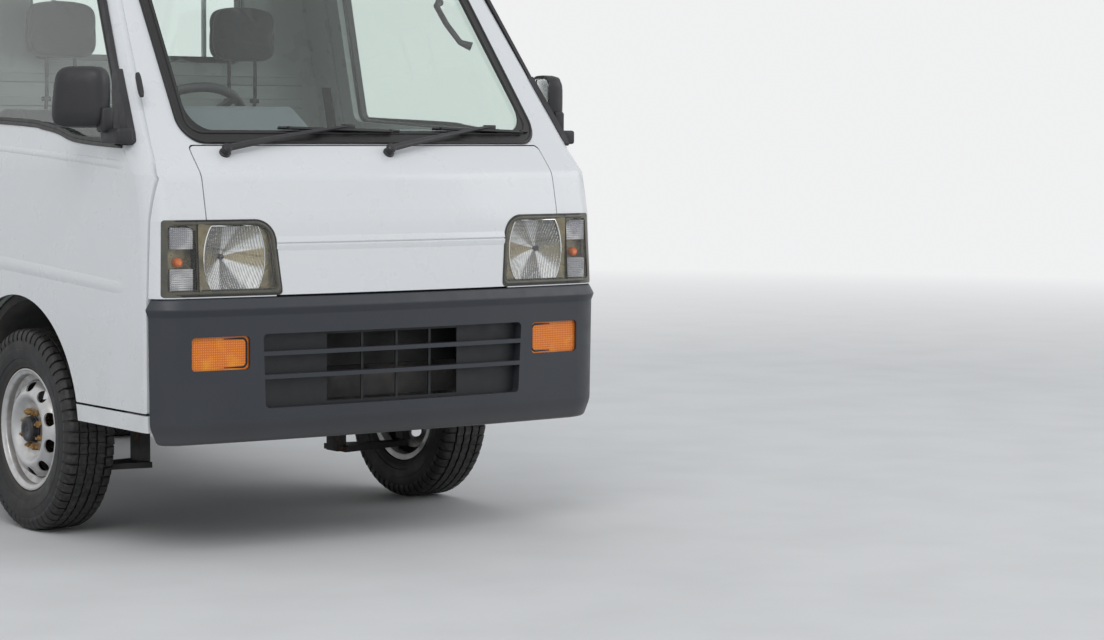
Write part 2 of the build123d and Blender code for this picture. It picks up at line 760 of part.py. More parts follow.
# Cab floor: bulkhead, footwell, heel board, seat base and the liners over the front wheels
kingpin_axis = Vector(-sin(radians(KINGPIN_LEAN)), 0, cos(radians(KINGPIN_LEAN)))
strut_top = Vector(BALL_JOINT_X, FRONT_AXLE_Y, BALL_JOINT_Z) + kingpin_axis * STRUT_TOP
HEEL_Y = FRONT_AXLE_Y - CAVITY_RADIUS - LINER
BULKHEAD_Y = -1520
with BuildPart() as cab_floor:
    with BuildSketch(Plane.YZ.offset(-CABIN_HALF)):
        with BuildLine():
            Polyline(
                (BULKHEAD_Y, FLOOR_UNDER_Z),
                (HEEL_Y, FLOOR_UNDER_Z),
                (HEEL_Y, SEAT_BASE_Z - SEAT_BASE_THICK),
                (CAB_REAR_Y - BACK_WALL - SEAT_GAP, SEAT_BASE_Z - SEAT_BASE_THICK),
                (CAB_REAR_Y - BACK_WALL - SEAT_GAP, SEAT_BASE_Z),
                (HEEL_Y - LINER, SEAT_BASE_Z),
                (HEEL_Y - LINER, FLOOR_UNDER_Z + FLOOR_THICK),
                (BULKHEAD_Y + 15, FLOOR_UNDER_Z + FLOOR_THICK),
                (BULKHEAD_Y + 15, 940),
                (BULKHEAD_Y, 940),
                close=True,
            )
        make_face()
    extrude(amount=2 * CABIN_HALF)
    for sign in (-1, 1):
        slab(
            sorted((sign * (CABIN_HALF - 1), sign * PILLAR_INNER)),
            (DOOR_REAR_Y + 8, BACK_SPLIT_Y),
            (SEAT_BASE_Z - SEAT_BASE_THICK, SEAT_BASE_Z),
        )
        slab(
            sorted((sign * (CABIN_HALF - 40), sign * CABIN_HALF)),
            (BULKHEAD_Y + 20, HEEL_Y - 35),
            (SILL_Z + 5, FLOOR_UNDER_Z + 1),
        )
        slab(
            sorted((sign * (CABIN_HALF - 1), sign * PILLAR_INNER)),
            (BULKHEAD_Y + 20, HEEL_Y - 35),
            (SILL_Z + 5, DOOR_BOTTOM_Z - 5),
        )
        with BuildSketch(Plane.YZ.offset(sign * CABIN_HALF)) as liner_view:
            with Locations((FRONT_AXLE_Y, TYRE_RADIUS)):
                Circle(CAVITY_RADIUS + LINER)
                Circle(CAVITY_RADIUS, mode=Mode.SUBTRACT)
                with Locations((0, -CAVITY_RADIUS + 90)):
                    Rectangle(2 * CAVITY_RADIUS + 100, 2 * CAVITY_RADIUS, mode=Mode.SUBTRACT)
        extrude(liner_view.sketch, amount=-sign * (CABIN_HALF - CAVITY_INNER_X))
        with BuildSketch(Plane.YZ.offset(sign * (CAVITY_INNER_X - 6))) as wall_view:
            with Locations((FRONT_AXLE_Y, TYRE_RADIUS)):
                Circle(CAVITY_RADIUS + LINER)
                with Locations((0, -CAVITY_RADIUS + 90)):
                    Rectangle(2 * CAVITY_RADIUS + 100, 2 * CAVITY_RADIUS, mode=Mode.SUBTRACT)
        extrude(wall_view.sketch, amount=sign * 6)
        rod(
            (sign * strut_top.X, strut_top.Y, strut_top.Z + SEAT_GAP),
            (
                sign * (strut_top.X + kingpin_axis.X * 35),
                strut_top.Y,
                strut_top.Z + SEAT_GAP + kingpin_axis.Z * 35,
            ),
            45,
        )
save(cab_floor, "cab_floor")

# Engine block with its gearbox, low between the seats
GEARBOX_END_Y = 60
with BuildPart() as engine:
    slab((-190, 190), (-700, -330), (250, 600))
    slab((-110, 110), (-335, GEARBOX_END_Y), (270, 470))
    fillet(engine.edges().filter_by(Axis.Y), radius=18)
    slab((-60, 60), (-740, -699), (400, 430))
save(engine, "engine")

# Front cross member with the lower arms that carry the ball joints
with BuildPart() as front_suspension:
    slab((-RAIL_X[1], RAIL_X[1]), (FRONT_AXLE_Y - 40, FRONT_AXLE_Y + 40), (330, RAIL_BOTTOM_FRONT))
    for sign in (-1, 1):
        slab(
            sorted((sign * (RAIL_X[0] - 10), sign * (RAIL_X[0] + 20))),
            (FRONT_AXLE_Y - 30, FRONT_AXLE_Y + 30),
            (BALL_JOINT_Z - 25, 335),
        )
        with BuildSketch(Plane.XY.offset(BALL_JOINT_Z - 9 - SEAT_GAP)) as arm_view:
            with BuildLine() as arm_edge:
                Polyline(
                    (sign * RAIL_X[0], FRONT_AXLE_Y - 60),
                    (sign * (BALL_JOINT_X - 8), FRONT_AXLE_Y - 14),
                    (sign * (BALL_JOINT_X - 8), FRONT_AXLE_Y + 14),
                    (sign * RAIL_X[0], FRONT_AXLE_Y + 60),
                    close=True,
                )
            make_face()
            with Locations((sign * BALL_JOINT_X, FRONT_AXLE_Y)):
                Circle(14)
        extrude(arm_view.sketch, amount=-16)
save(front_suspension, "front_suspension")

# Knuckle with its spindle, back plate, strut tube and spring, all turning about the leaning kingpin
with BuildPart() as knuckle:
    spindle_x = TRACK / 2
    with BuildSketch(Plane.YZ.offset(spindle_x + DRUM_INNER - 9)):
        with Locations((FRONT_AXLE_Y, TYRE_RADIUS)):
            Circle(DRUM_RADIUS + 2)
    extrude(amount=4)
    rod(
        (spindle_x + DRUM_INNER - 25, FRONT_AXLE_Y, TYRE_RADIUS),
        (spindle_x + 8, FRONT_AXLE_Y, TYRE_RADIUS),
        SPINDLE_RADIUS,
    )
    with BuildSketch(Plane.XZ.offset(-FRONT_AXLE_Y)):
        with BuildLine():
            Polyline(
                (BALL_JOINT_X - 16, BALL_JOINT_Z - 3),
                (BALL_JOINT_X + 9, BALL_JOINT_Z - 3),
                (spindle_x + DRUM_INNER - 9, TYRE_RADIUS - 60),
                (spindle_x + DRUM_INNER - 9, TYRE_RADIUS + 50),
                (spindle_x + DRUM_INNER - 30, TYRE_RADIUS + 95),
                (spindle_x + DRUM_INNER - 60, TYRE_RADIUS + 95),
                (spindle_x + DRUM_INNER - 34, TYRE_RADIUS),
                close=True,
            )
        make_face()
    extrude(amount=20, both=True)
    ball_joint = Vector(BALL_JOINT_X, FRONT_AXLE_Y, BALL_JOINT_Z)
    rod(tuple(ball_joint - kingpin_axis * 7.6), tuple(ball_joint + kingpin_axis * 20), 7)
    rod(tuple(ball_joint + kingpin_axis * 175), tuple(strut_top), STRUT_RADIUS)
    for along in (265, 295, 325, 355, 385, 415):
        ring = ball_joint + kingpin_axis * along
        rod(tuple(ring - kingpin_axis * 4), tuple(ring + kingpin_axis * 4), STRUT_RADIUS + 6)
save_pair(knuckle, "knuckle")


# Wheels, each a pressed rim with its hub, and a tyre
RIM_ROWS = (
    # offset, radius
    (RIM_HALF, RIM_FLANGE),
    (RIM_HALF - 6, BEAD_RADIUS),
    (RIM_HALF - 27, BEAD_RADIUS),
    (RIM_HALF - 37, WELL_RADIUS),
    (-RIM_HALF + 42, WELL_RADIUS),
    (-RIM_HALF + 32, BEAD_RADIUS),
    (-RIM_HALF + 6, BEAD_RADIUS),
    (-RIM_HALF, RIM_FLANGE),
    (-RIM_HALF, RIM_FLANGE - RIM_WALL),
    (-RIM_HALF + 3, BEAD_RADIUS - RIM_WALL),
    (-RIM_HALF + 30, BEAD_RADIUS - RIM_WALL),
    (-RIM_HALF + 40, WELL_RADIUS - RIM_WALL),
    (RIM_HALF - 35, WELL_RADIUS - RIM_WALL),
    (RIM_HALF - 25, BEAD_RADIUS - RIM_WALL),
    (RIM_HALF - 3, BEAD_RADIUS - RIM_WALL),
    (RIM_HALF, RIM_FLANGE - RIM_WALL),
)
DISC_ROWS = (
    # offset, radius
    (8, WELL_RADIUS - 1),
    (26, WELL_RADIUS - 6),
    (36, 112),
    (42, 97),
    (38, 88),
    (22, 74),
    (20, 20),
    (14, 20),
    (14, 76),
    (30, 90),
    (34, 97),
    (29, 108),
    (20, WELL_RADIUS - 12),
    (4, WELL_RADIUS - 8),
    (4, WELL_RADIUS - 1),
)
TYRE_ROWS = (
    # offset, radius, corner radius
    (RIM_HALF - 10, BEAD_RADIUS + SEAT_GAP, 0),
    (RIM_HALF - 3, RIM_FLANGE + 2, 0),
    (TYRE_WIDTH / 2, 212, 26),
    (TYRE_WIDTH / 2 - 5, TYRE_RADIUS - 12, 10),
    (TYRE_WIDTH / 2 - 22, TYRE_RADIUS, 0),
)


def make_wheel(centre, outward, label):
    """A rim with hub and drum, and its tyre, about an axle along X."""
    axle = Axis(centre, (1, 0, 0))
    section = Plane(origin=centre, x_dir=(outward, 0, 0), z_dir=(0, -outward, 0))
    wheel_plane = Plane(origin=centre, x_dir=(0, 1, 0), z_dir=(1, 0, 0))
    with BuildPart() as rim:
        with BuildSketch(section) as rim_view:
            with BuildLine() as rim_edge:
                Polyline(*RIM_ROWS, close=True)
            make_face()
            with BuildLine() as disc_edge:
                Polyline(*DISC_ROWS, close=True)
            make_face()
            with BuildLine() as hub_edge:
                Polyline(
                    (DRUM_INNER, SPINDLE_RADIUS + 1),
                    (DRUM_INNER, DRUM_RADIUS),
                    (14, DRUM_RADIUS),
                    (14, 48),
                    (22, 48),
                    (22, HUB_RADIUS + 3),
                    (HUB_REACH - 22, HUB_RADIUS),
                    (HUB_REACH - 3, HUB_RADIUS - 2),
                    (HUB_REACH, HUB_RADIUS - 12),
                    (HUB_REACH, 0),
                    (12, 0),
                    (12, SPINDLE_RADIUS + 1),
                    close=True,
                )
            make_face()
        revolve(rim_view.sketch, axis=axle)
        with BuildSketch(wheel_plane) as holes_view:
            with PolarLocations(116, WHEEL_HOLES):
                SlotOverall(36, 21, rotation=90)
        extrude(holes_view.sketch, amount=outward * RIM_FLANGE, mode=Mode.SUBTRACT)
        with BuildSketch(wheel_plane.offset(outward * 18)) as nuts_view:
            with PolarLocations(56, 4, start_angle=45):
                RegularPolygon(9, 6)
        extrude(nuts_view.sketch, amount=outward * 18)
    save(rim, "rim_" + label)
    with BuildPart() as tyre:
        rows = list(TYRE_ROWS)
        rows += [(-offset_x, radius, corner) for offset_x, radius, corner in reversed(TYRE_ROWS)]
        with BuildSketch(section) as tyre_view:
            outline(rows)
        revolve(tyre_view.sketch, axis=axle)
    save(tyre, "tyre_" + label)


for place, axle_y in (("front", FRONT_AXLE_Y), ("rear", REAR_AXLE_Y)):
    for side, outward in (("left", 1), ("right", -1)):
        make_wheel((outward * TRACK / 2, axle_y, TYRE_RADIUS), outward, f"{place}_{side}")

# Rear axle with its leaf springs and propeller shaft
SPRING_X = 340
SPRING_REACH = 430
SPRING_END_Z = 430
SPRING_MIDDLE_Z = TYRE_RADIUS + 40
SPRING_DEPTH = 14
AXLE_REACH = TRACK / 2 + DRUM_INNER - 5
with BuildPart() as rear_suspension:
    rod((-AXLE_REACH, REAR_AXLE_Y, TYRE_RADIUS), (AXLE_REACH, REAR_AXLE_Y, TYRE_RADIUS), 32)
    for sign in (-1, 1):
        rod(
            (sign * (AXLE_REACH - 6), REAR_AXLE_Y, TYRE_RADIUS),
            (sign * AXLE_REACH, REAR_AXLE_Y, TYRE_RADIUS),
            DRUM_RADIUS,
        )
        rod(
            (sign * (AXLE_REACH - 10), REAR_AXLE_Y, TYRE_RADIUS),
            (sign * (TRACK / 2 + 8), REAR_AXLE_Y, TYRE_RADIUS),
            SPINDLE_RADIUS,
        )
    rod((0, REAR_AXLE_Y - 95, TYRE_RADIUS), (0, REAR_AXLE_Y + 30, TYRE_RADIUS), 74)
    for sign in (-1, 1):
        with BuildSketch(Plane.YZ.offset(sign * SPRING_X - 25)) as leaf_view:
            with BuildLine():
                Polyline(
                    (REAR_AXLE_Y - SPRING_REACH, SPRING_END_Z - SPRING_DEPTH),
                    (REAR_AXLE_Y - SPRING_REACH / 2, SPRING_MIDDLE_Z + 22 - SPRING_DEPTH),
                    (REAR_AXLE_Y, SPRING_MIDDLE_Z - 2 * SPRING_DEPTH),
                    (REAR_AXLE_Y + SPRING_REACH / 2, SPRING_MIDDLE_Z + 22 - SPRING_DEPTH),
                    (REAR_AXLE_Y + SPRING_REACH, SPRING_END_Z - SPRING_DEPTH),
                    (REAR_AXLE_Y + SPRING_REACH, SPRING_END_Z + SPRING_DEPTH),
                    (REAR_AXLE_Y + SPRING_REACH / 2, SPRING_MIDDLE_Z + 22 + SPRING_DEPTH),
                    (REAR_AXLE_Y, SPRING_MIDDLE_Z + SPRING_DEPTH),
                    (REAR_AXLE_Y - SPRING_REACH / 2, SPRING_MIDDLE_Z + 22 + SPRING_DEPTH),
                    (REAR_AXLE_Y - SPRING_REACH, SPRING_END_Z + SPRING_DEPTH),
                    close=True,
                )
            make_face()
        extrude(leaf_view.sketch, amount=50)
        for end in (-1, 1):
            slab(
                (sign * SPRING_X - 15, sign * SPRING_X + 15),
                (REAR_AXLE_Y + end * SPRING_REACH - 20, REAR_AXLE_Y + end * SPRING_REACH + 20),
                (SPRING_END_Z - SPRING_DEPTH - 4, RAIL_BOTTOM_REAR),
            )
    rod((0, REAR_AXLE_Y - 60, TYRE_RADIUS + 10), (0, GEARBOX_END_Y + 3.2, 370), 28)
save(rear_suspension, "rear_suspension")

# Under the bed: fuel tank, spare wheel, silencer
with BuildPart() as fuel_tank:
    slab((385, 620), (300, 620), (300, 500))
    fillet(fuel_tank.edges().filter_by(Axis.Y), radius=30)
    for y in (350, 570):
        slab((390, 430), (y - 10, y + 10), (495, RAIL_TOP_REAR - 40))
        slab((RAIL_X[1], 430), (y - 10, y + 10), (RAIL_TOP_REAR - 60, RAIL_TOP_REAR - 40))
save(fuel_tank, "fuel_tank")

with BuildPart() as exhaust:
    rod((-200, 180, 330), (-200, 560, 330), 60)
    rod((-200, -330 + SEAT_GAP, 330), (-200, 190, 330), 20)
    rod((-200, 550, 330), (-200, 900, 330), 18)
    for y, from_z in ((100, 345), (420, 385)):
        slab((-205, -195), (y - 12, y + 12), (from_z, RAIL_TOP_REAR))
save(exhaust, "exhaust")

SPARE_Z = 420
SPARE_Y = 1370
HANGER_RADIUS = 12
with BuildPart() as spare_wheel:
    with BuildSketch(Plane(origin=(0, SPARE_Y, SPARE_Z), x_dir=(0, 0, -1), z_dir=(0, -1, 0))) as spare_view:
        outline(list(TYRE_ROWS) + [(-a, b, c) for a, b, c in reversed(TYRE_ROWS)])
        with BuildLine():
            Polyline(
                (20, 0),
                (20, BEAD_RADIUS + 8),
                (12, BEAD_RADIUS + 8),
                (12, HANGER_RADIUS),
                (SPARE_Z - RAIL_TOP_REAR, HANGER_RADIUS),
                (SPARE_Z - RAIL_TOP_REAR, 0),
                close=True,
            )
        make_face()
    revolve(spare_view.sketch, axis=Axis((0, SPARE_Y, SPARE_Z), (0, 0, 1)))
save(spare_wheel, "spare_wheel")

# Bed: ribbed floor on cross ribs and side rails, with hinge pins for the three gates
HINGE_X = BED_RAIL_X[1] + HINGE_OFFSET
HINGE_Z = BED_RAIL_TOP + HINGE_OFFSET
HINGE_Y = REAR_END - BARREL_RADIUS
BED_RAIL_END_Y = HINGE_Y - HINGE_OFFSET
GATE_FRONT_Y = BED_FRONT_Y + 36
GATE_HINGES = (0, 600, 1300)
TAIL_HINGES = (-450, 0, 450)
LUG = 10
with BuildPart() as bed_floor:
    slab((-BED_HALF, BED_HALF), (BED_FRONT_Y + 32, BED_RAIL_END_Y - 28), (BED_TOP_Z - BED_SHEET, BED_TOP_Z))
    for column in range(13):
        x = (column - 6) * 95
        slab(
            (x - 14, x + 14),
            (BED_FRONT_Y + 90, BED_RAIL_END_Y - 80),
            (BED_TOP_Z - 4, BED_TOP_Z),
            mode=Mode.SUBTRACT,
        )
    for y in (-140, 100, 420, 740, 1060, 1380, 1590):
        slab((-BED_RAIL_X[0], BED_RAIL_X[0]), (y - 18, y + 18), (RAIL_TOP_REAR, BED_TOP_Z - BED_SHEET))
    for sign in (-1, 1):
        slab(
            sorted((sign * (BED_RAIL_X[0] - 1), sign * BED_RAIL_X[1])),
            (BED_FRONT_Y, BED_RAIL_END_Y),
            (RAIL_TOP_REAR, BED_RAIL_TOP),
        )
        slab(
            sorted((sign * (BED_RAIL_X[0] - 1), sign * BED_HALF)),
            (BED_FRONT_Y + 32, BED_RAIL_END_Y - 28),
            (BED_RAIL_TOP - 1, BED_TOP_Z - BED_SHEET),
        )
        for y in (100, 740, 1380):
            rod((sign * BED_RAIL_X[0], y + 60, 600), (sign * (BED_RAIL_X[0] + 4), y + 60, 575), 5)
        slab(
            sorted((sign * (TRACK / 2 - TYRE_WIDTH / 2), sign * (TRACK / 2 + TYRE_WIDTH / 2))),
            (REAR_AXLE_Y + 316, REAR_AXLE_Y + 322),
            (260, RAIL_TOP_REAR + 1),
        )
        for y in GATE_HINGES:
            for end in (-1, 1):
                middle = GATE_FRONT_Y + 120 + y + end * (BARREL_LENGTH / 2 + LUG / 2 + SEAT_GAP)
                slab(
                    sorted((sign * (BED_RAIL_X[1] - 12), sign * HINGE_X)),
                    (middle - LUG / 2, middle + LUG / 2),
                    (BED_RAIL_TOP - 12, HINGE_Z),
                )
            rod(
                (sign * HINGE_X, GATE_FRONT_Y + 120 + y - BARREL_LENGTH / 2 - LUG, HINGE_Z),
                (sign * HINGE_X, GATE_FRONT_Y + 120 + y + BARREL_LENGTH / 2 + LUG, HINGE_Z),
                PIN_RADIUS,
            )
    slab((-BED_RAIL_X[1], BED_RAIL_X[1]), (BED_RAIL_END_Y - 25, BED_RAIL_END_Y), (RAIL_TOP_REAR, BED_RAIL_TOP))
    for x in TAIL_HINGES:
        for end in (-1, 1):
            middle = x + end * (BARREL_LENGTH / 2 + LUG / 2 + SEAT_GAP)
            slab(
                (middle - LUG / 2, middle + LUG / 2),
                (BED_RAIL_END_Y - 12, HINGE_Y),
                (BED_RAIL_TOP - 12, HINGE_Z),
            )
        rod(
            (x - BARREL_LENGTH / 2 - LUG, HINGE_Y, HINGE_Z),
            (x + BARREL_LENGTH / 2 + LUG, HINGE_Y, HINGE_Z),
            PIN_RADIUS,
        )
save(bed_floor, "bed_floor")


def gate_panel(length, lead):
    """A drop side standing on its edge: x along its length, y its height, z its thickness outwards."""
    height = GATE_TOP_Z - GATE_BOTTOM_Z
    with BuildPart() as panel:
        slab((0, length), (0, height), (0, GATE_THICK))
        fillet(panel.edges().filter_by(Axis.X).group_by(Axis.Y)[-1], radius=9)
        bays = 4
        bay = (length - 60) / bays
        for index in range(bays):
            slab(
                (30 + index * bay + 15, 30 + (index + 1) * bay - 15),
                (40, height - 50),
                (GATE_THICK - 9, GATE_THICK + 1),
                mode=Mode.SUBTRACT,
            )
        for x in lead:
            drop = GATE_BOTTOM_Z - HINGE_Z
            slab((x - BARREL_LENGTH / 2, x + BARREL_LENGTH / 2), (-drop, 1), (GATE_THICK - 5, GATE_THICK))
            rod(
                (x - BARREL_LENGTH / 2, -drop, GATE_THICK + 2),
                (x + BARREL_LENGTH / 2, -drop, GATE_THICK + 2),
                BARREL_RADIUS,
            )
            rod(
                (x - BARREL_LENGTH / 2, -drop, GATE_THICK + 2),
                (x + BARREL_LENGTH / 2, -drop, GATE_THICK + 2),
                PIN_RADIUS + SEAT_GAP,
                mode=Mode.SUBTRACT,
            )
    return panel.part


side_length = BED_RAIL_END_Y - GATE_FRONT_Y
side_panel = gate_panel(side_length, [120 + y for y in GATE_HINGES])
with BuildPart() as side_gate:
    add(
        Plane(
            origin=(HINGE_X - GATE_THICK - 2, GATE_FRONT_Y, GATE_BOTTOM_Z), x_dir=(0, 1, 0), z_dir=(1, 0, 0)
        )
        * side_panel
    )
save_pair(side_gate, "side_gate")

tail_length = 2 * BED_HALF
tail_panel = gate_panel(tail_length, [BED_HALF + x for x in TAIL_HINGES])
with BuildPart() as tailgate:
    add(
        Plane(
            origin=(BED_HALF, HINGE_Y - GATE_THICK - 2, GATE_BOTTOM_Z), x_dir=(-1, 0, 0), z_dir=(0, 1, 0)
        )
        * tail_panel
    )
save(tailgate, "tailgate")

with BuildPart() as headboard:
    slab((-BED_HALF - 25, BED_HALF + 25), (BED_FRONT_Y, BED_FRONT_Y + 30), (BED_RAIL_TOP, GATE_TOP_Z))
    for x in (-420, 0, 420):
        slab(
            (x - 180, x + 180),
            (BED_FRONT_Y + 22, BED_FRONT_Y + 31),
            (BED_RAIL_TOP + 50, GATE_TOP_Z - 50),
            mode=Mode.SUBTRACT,
        )
    for x in (-500, 500):
        rod((x, BED_FRONT_Y + 15, GATE_TOP_Z - 1), (x, BED_FRONT_Y + 15, 1560), 15)
    for z in (1250, 1550):
        rod((-515, BED_FRONT_Y + 15, z), (515, BED_FRONT_Y + 15, z), 13)
    for x in (-250, 0, 250):
        rod((x, BED_FRONT_Y + 15, GATE_TOP_Z - 1), (x, BED_FRONT_Y + 15, 1550), 8)
save(headboard, "headboard")

with BuildPart() as tail_lamps:
    for sign in (-1, 1):
        slab(
            sorted((sign * 500, sign * BED_RAIL_X[0])),
            (BED_RAIL_END_Y - 45, BED_RAIL_END_Y),
            (RAIL_TOP_REAR - 105, RAIL_TOP_REAR),
        )
    fillet(tail_lamps.edges().filter_by(Axis.Y), radius=8)
save(tail_lamps, "tail_lamps")

# Radiator behind the grille
with BuildPart() as radiator:
    slab((-230, 230), (-1500, -1460), (300, RAIL_BOTTOM_FRONT - 4))
    slab((-200, 200), (-1500, -1462), (RAIL_BOTTOM_FRONT - 4, FLOOR_UNDER_Z))
save(radiator, "radiator")

# Seats: cushions and backs on low bases, head pads on posts
SEAT_X = 300
SEAT_HALF = 225
with BuildPart() as seats:
    for sign in (-1, 1):
        slab(
            (sign * SEAT_X - SEAT_HALF, sign * SEAT_X + SEAT_HALF),
            (-860, -420),
            (SEAT_BASE_Z + SEAT_GAP, SEAT_BASE_Z + 110),
        )
    fillet(seats.edges().filter_by(Axis.X).group_by(Axis.Z)[-1], radius=35)
    for sign in (-1, 1):
        with BuildSketch(Plane.YZ.offset(sign * SEAT_X - SEAT_HALF + 5)) as back_view:
            outline(
                (
                    (-415, SEAT_BASE_Z + SEAT_GAP, 8),
                    (-300, SEAT_BASE_Z + SEAT_GAP, 8),
                    (-262, 1165, 30),
                    (-360, 1165, 40),
                )
            )
        extrude(back_view.sketch, amount=2 * SEAT_HALF - 10)
save(seats, "seats")

with BuildPart() as headrests:
    for sign in (-1, 1):
        with BuildSketch(Plane.XZ.offset(366)) as pad_view:
            with Locations((sign * SEAT_X, 1365)):
                RectangleRounded(220, 170, 45)
        extrude(pad_view.sketch, amount=-85)
        for post in (-45, 45):
            rod((sign * SEAT_X + post, -322, 1165 + SEAT_GAP), (sign * SEAT_X + post, -322, 1290), 6)
save(headrests, "headrests")

# Dashboard with the hooded instrument housing on the driver's side
DASH_HALF = CABIN_HALF - 16
WHEEL_TILT = 42
STEER_CENTRE = Vector(-296, -1013, 1073)
STEER_AXIS = Vector(0, sin(radians(WHEEL_TILT)), cos(radians(WHEEL_TILT)))
STEER_RADIUS = 178
COLUMN_RADIUS = 30
COLUMN_REACH = 734
with BuildPart() as dashboard:
    with BuildSketch(Plane.YZ.offset(-DASH_HALF)):
        outline(
            (
                (BULKHEAD_Y + 15 + SEAT_GAP, 900, 0),
                (-1400, 800, 30),
                (-1275, 800, 40),
                (-1215, 930, 60),
                (-1235, 1050, 50),
                (-1330, 1085, 60),
                (-1440, 1062, 30),
                (BULKHEAD_Y + 15 + SEAT_GAP, 1000, 0),
            )
        )
    extrude(amount=2 * DASH_HALF)
    with BuildSketch(Plane.YZ.offset(-500)):
        outline(
            ((-1400, 1020, 0), (-1215, 1000, 20), (-1195, 1120, 40), (-1290, 1146, 60), (-1400, 1080, 0))
        )
    extrude(amount=380)
    rod(
        tuple(STEER_CENTRE),
        tuple(STEER_CENTRE - STEER_AXIS * COLUMN_REACH),
        COLUMN_RADIUS + SEAT_GAP,
        mode=Mode.SUBTRACT,
    )
save(dashboard, "dashboard")

# Steering wheel and the column that carries it
with BuildPart() as steering_wheel:
    steer_plane = Plane(origin=STEER_CENTRE, x_dir=(1, 0, 0), z_dir=STEER_AXIS)
    across = STEER_AXIS.cross(Vector(1, 0, 0)) * -1
    with BuildSketch(Plane(origin=STEER_CENTRE, x_dir=(1, 0, 0), z_dir=across)) as rim_view:
        with Locations((STEER_RADIUS, 0)):
            Circle(13)
    revolve(rim_view.sketch, axis=Axis(STEER_CENTRE, STEER_AXIS))
    with BuildSketch(steer_plane.offset(-30)) as hub_view:
        Circle(52)
    extrude(hub_view.sketch, amount=28)
    with BuildSketch(steer_plane.offset(-14)) as spoke_view:
        for angle in (0, 180, 235, 305):
            with Locations((Location((0, 0, 0), (0, 0, angle)))):
                with Locations((STEER_RADIUS / 2, 0)):
                    Rectangle(STEER_RADIUS, 22)
    extrude(spoke_view.sketch, amount=10)
save(steering_wheel, "steering_wheel")

with BuildPart() as cab_controls:
    column_top = STEER_CENTRE - STEER_AXIS * (30 + SEAT_GAP)
    rod(tuple(column_top), tuple(STEER_CENTRE - STEER_AXIS * COLUMN_REACH), COLUMN_RADIUS)
    slab((-500, 500), (FRONT_OF_CAB, BULKHEAD_Y + 15), (FLOOR_UNDER_Z, BELT_Z), mode=Mode.SUBTRACT)
    for x, reach in ((-380, 60), (-300, 60), (-215, 50)):
        slab((x - 22, x + 22), (-1420, -1408), (560, 560 + reach))
        slab((x - 5, x + 5), (-1430, -1418), (560, 790))
        slab((x - 5, x + 5), (-1480, -1425), (778, 790))
        slab((x - 30, x + 30), (BULKHEAD_Y + 15, -1475), (770, 800))
    slab((-30, 30), (-1010, -950), (SEAT_BASE_Z, SEAT_BASE_Z + 40))
    rod((0, -980, SEAT_BASE_Z + 30), (0, -1040, 900), 8)
    with Locations((0, -1042, 908)):
        Sphere(22)
    rod((60, -780, SEAT_BASE_Z + 20), (60, -930, SEAT_BASE_Z + 130), 12)
    slab((45, 75), (-800, -740), (SEAT_BASE_Z, SEAT_BASE_Z + 40))
save(cab_controls, "cab_controls")

BELT_THICK = 3
with BuildPart() as cab_fittings:
    for sign in (-1, 1):
        with BuildSketch(Plane.XZ.offset(285)) as belt_view:
            with BuildLine() as belt_edge:
                Polyline(
                    (sign * (PILLAR_INNER - BELT_THICK), SEAT_BASE_Z),
                    (sign * PILLAR_INNER, SEAT_BASE_Z),
                    (sign * PILLAR_INNER, BELT_Z),
                    (sign * (PILLAR_INNER - 37), 1210),
                    (sign * (PILLAR_INNER - BELT_THICK - 37), 1210),
                    (sign * (PILLAR_INNER - BELT_THICK), BELT_Z),
                    close=True,
                )
            make_face()
        extrude(belt_view.sketch, amount=48)
        slab(sorted((sign * 590, sign * PILLAR_INNER)), (-340, -275), (SEAT_BASE_Z, SEAT_BASE_Z + 130))
save(cab_fittings, "cab_fittings")

# Wipers lying along the foot of the windscreen
WIPERS = (
    # pivot x, arm end x, blade from x, blade to x
    (-452, -73, -276, 87),
    (27, 387, 201, 523),
)


WIPER_FOOT_Z = 1022
COWL_RISE = (110 - 37, 1046 - 968)


def screen_y(x, height, proud):
    """Depth of the windscreen or cowl surface at a place, standing proud of it."""
    bow = BOW_RADIUS - nose_setback(height) + proud
    return BOW_CENTRE_Y - sqrt(bow**2 - x**2)


with BuildPart() as wipers:
    for pivot, arm_end, blade_from, blade_to in WIPERS:
        foot = Vector(pivot, screen_y(pivot, WIPER_FOOT_Z, 0), WIPER_FOOT_Z)
        outwards = Vector(foot.X, foot.Y - BOW_CENTRE_Y, 0).normalized() * COWL_RISE[1]
        outwards = (outwards + Vector(0, 0, COWL_RISE[0])).normalized()
        rod(tuple(foot + outwards * SEAT_GAP), tuple(foot + outwards * 24), 13)
        rod(tuple(foot + outwards * 18), (arm_end, screen_y(arm_end, 1092, 22), 1096), 6)
        rod(
            (blade_from, screen_y(blade_from, 1086, 14), 1087),
            (blade_to, screen_y(blade_to, 1078, 14), 1079),
            5,
        )
save(wipers, "wipers")

# Door furniture: mirror on its arm, pull handle
with BuildPart() as door_fittings:
    with BuildSketch(Plane.XZ.offset(1425)) as head_view:
        with Locations((784, 1161)):
            RectangleRounded(144, 154, 26)
    extrude(head_view.sketch, amount=-50)
    rod((side_half(1075) - 5, -1400, 1075), (735, -1402, 1110), 10)
    slab((side_half(1075) - 18, side_half(1075) + 14), (-1430, -1370), (1052, 1100))
    add(clear_form, mode=Mode.SUBTRACT)
    slab((BODY_HALF + SEAT_GAP, BODY_HALF + 22), (-560, -430), (930, 960))
save_pair(door_fittings, "door_fittings")
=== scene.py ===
import math

import bmesh
import bpy
from bpy.props import FloatProperty, FloatVectorProperty, IntProperty, PointerProperty
from mathutils import Matrix, Vector


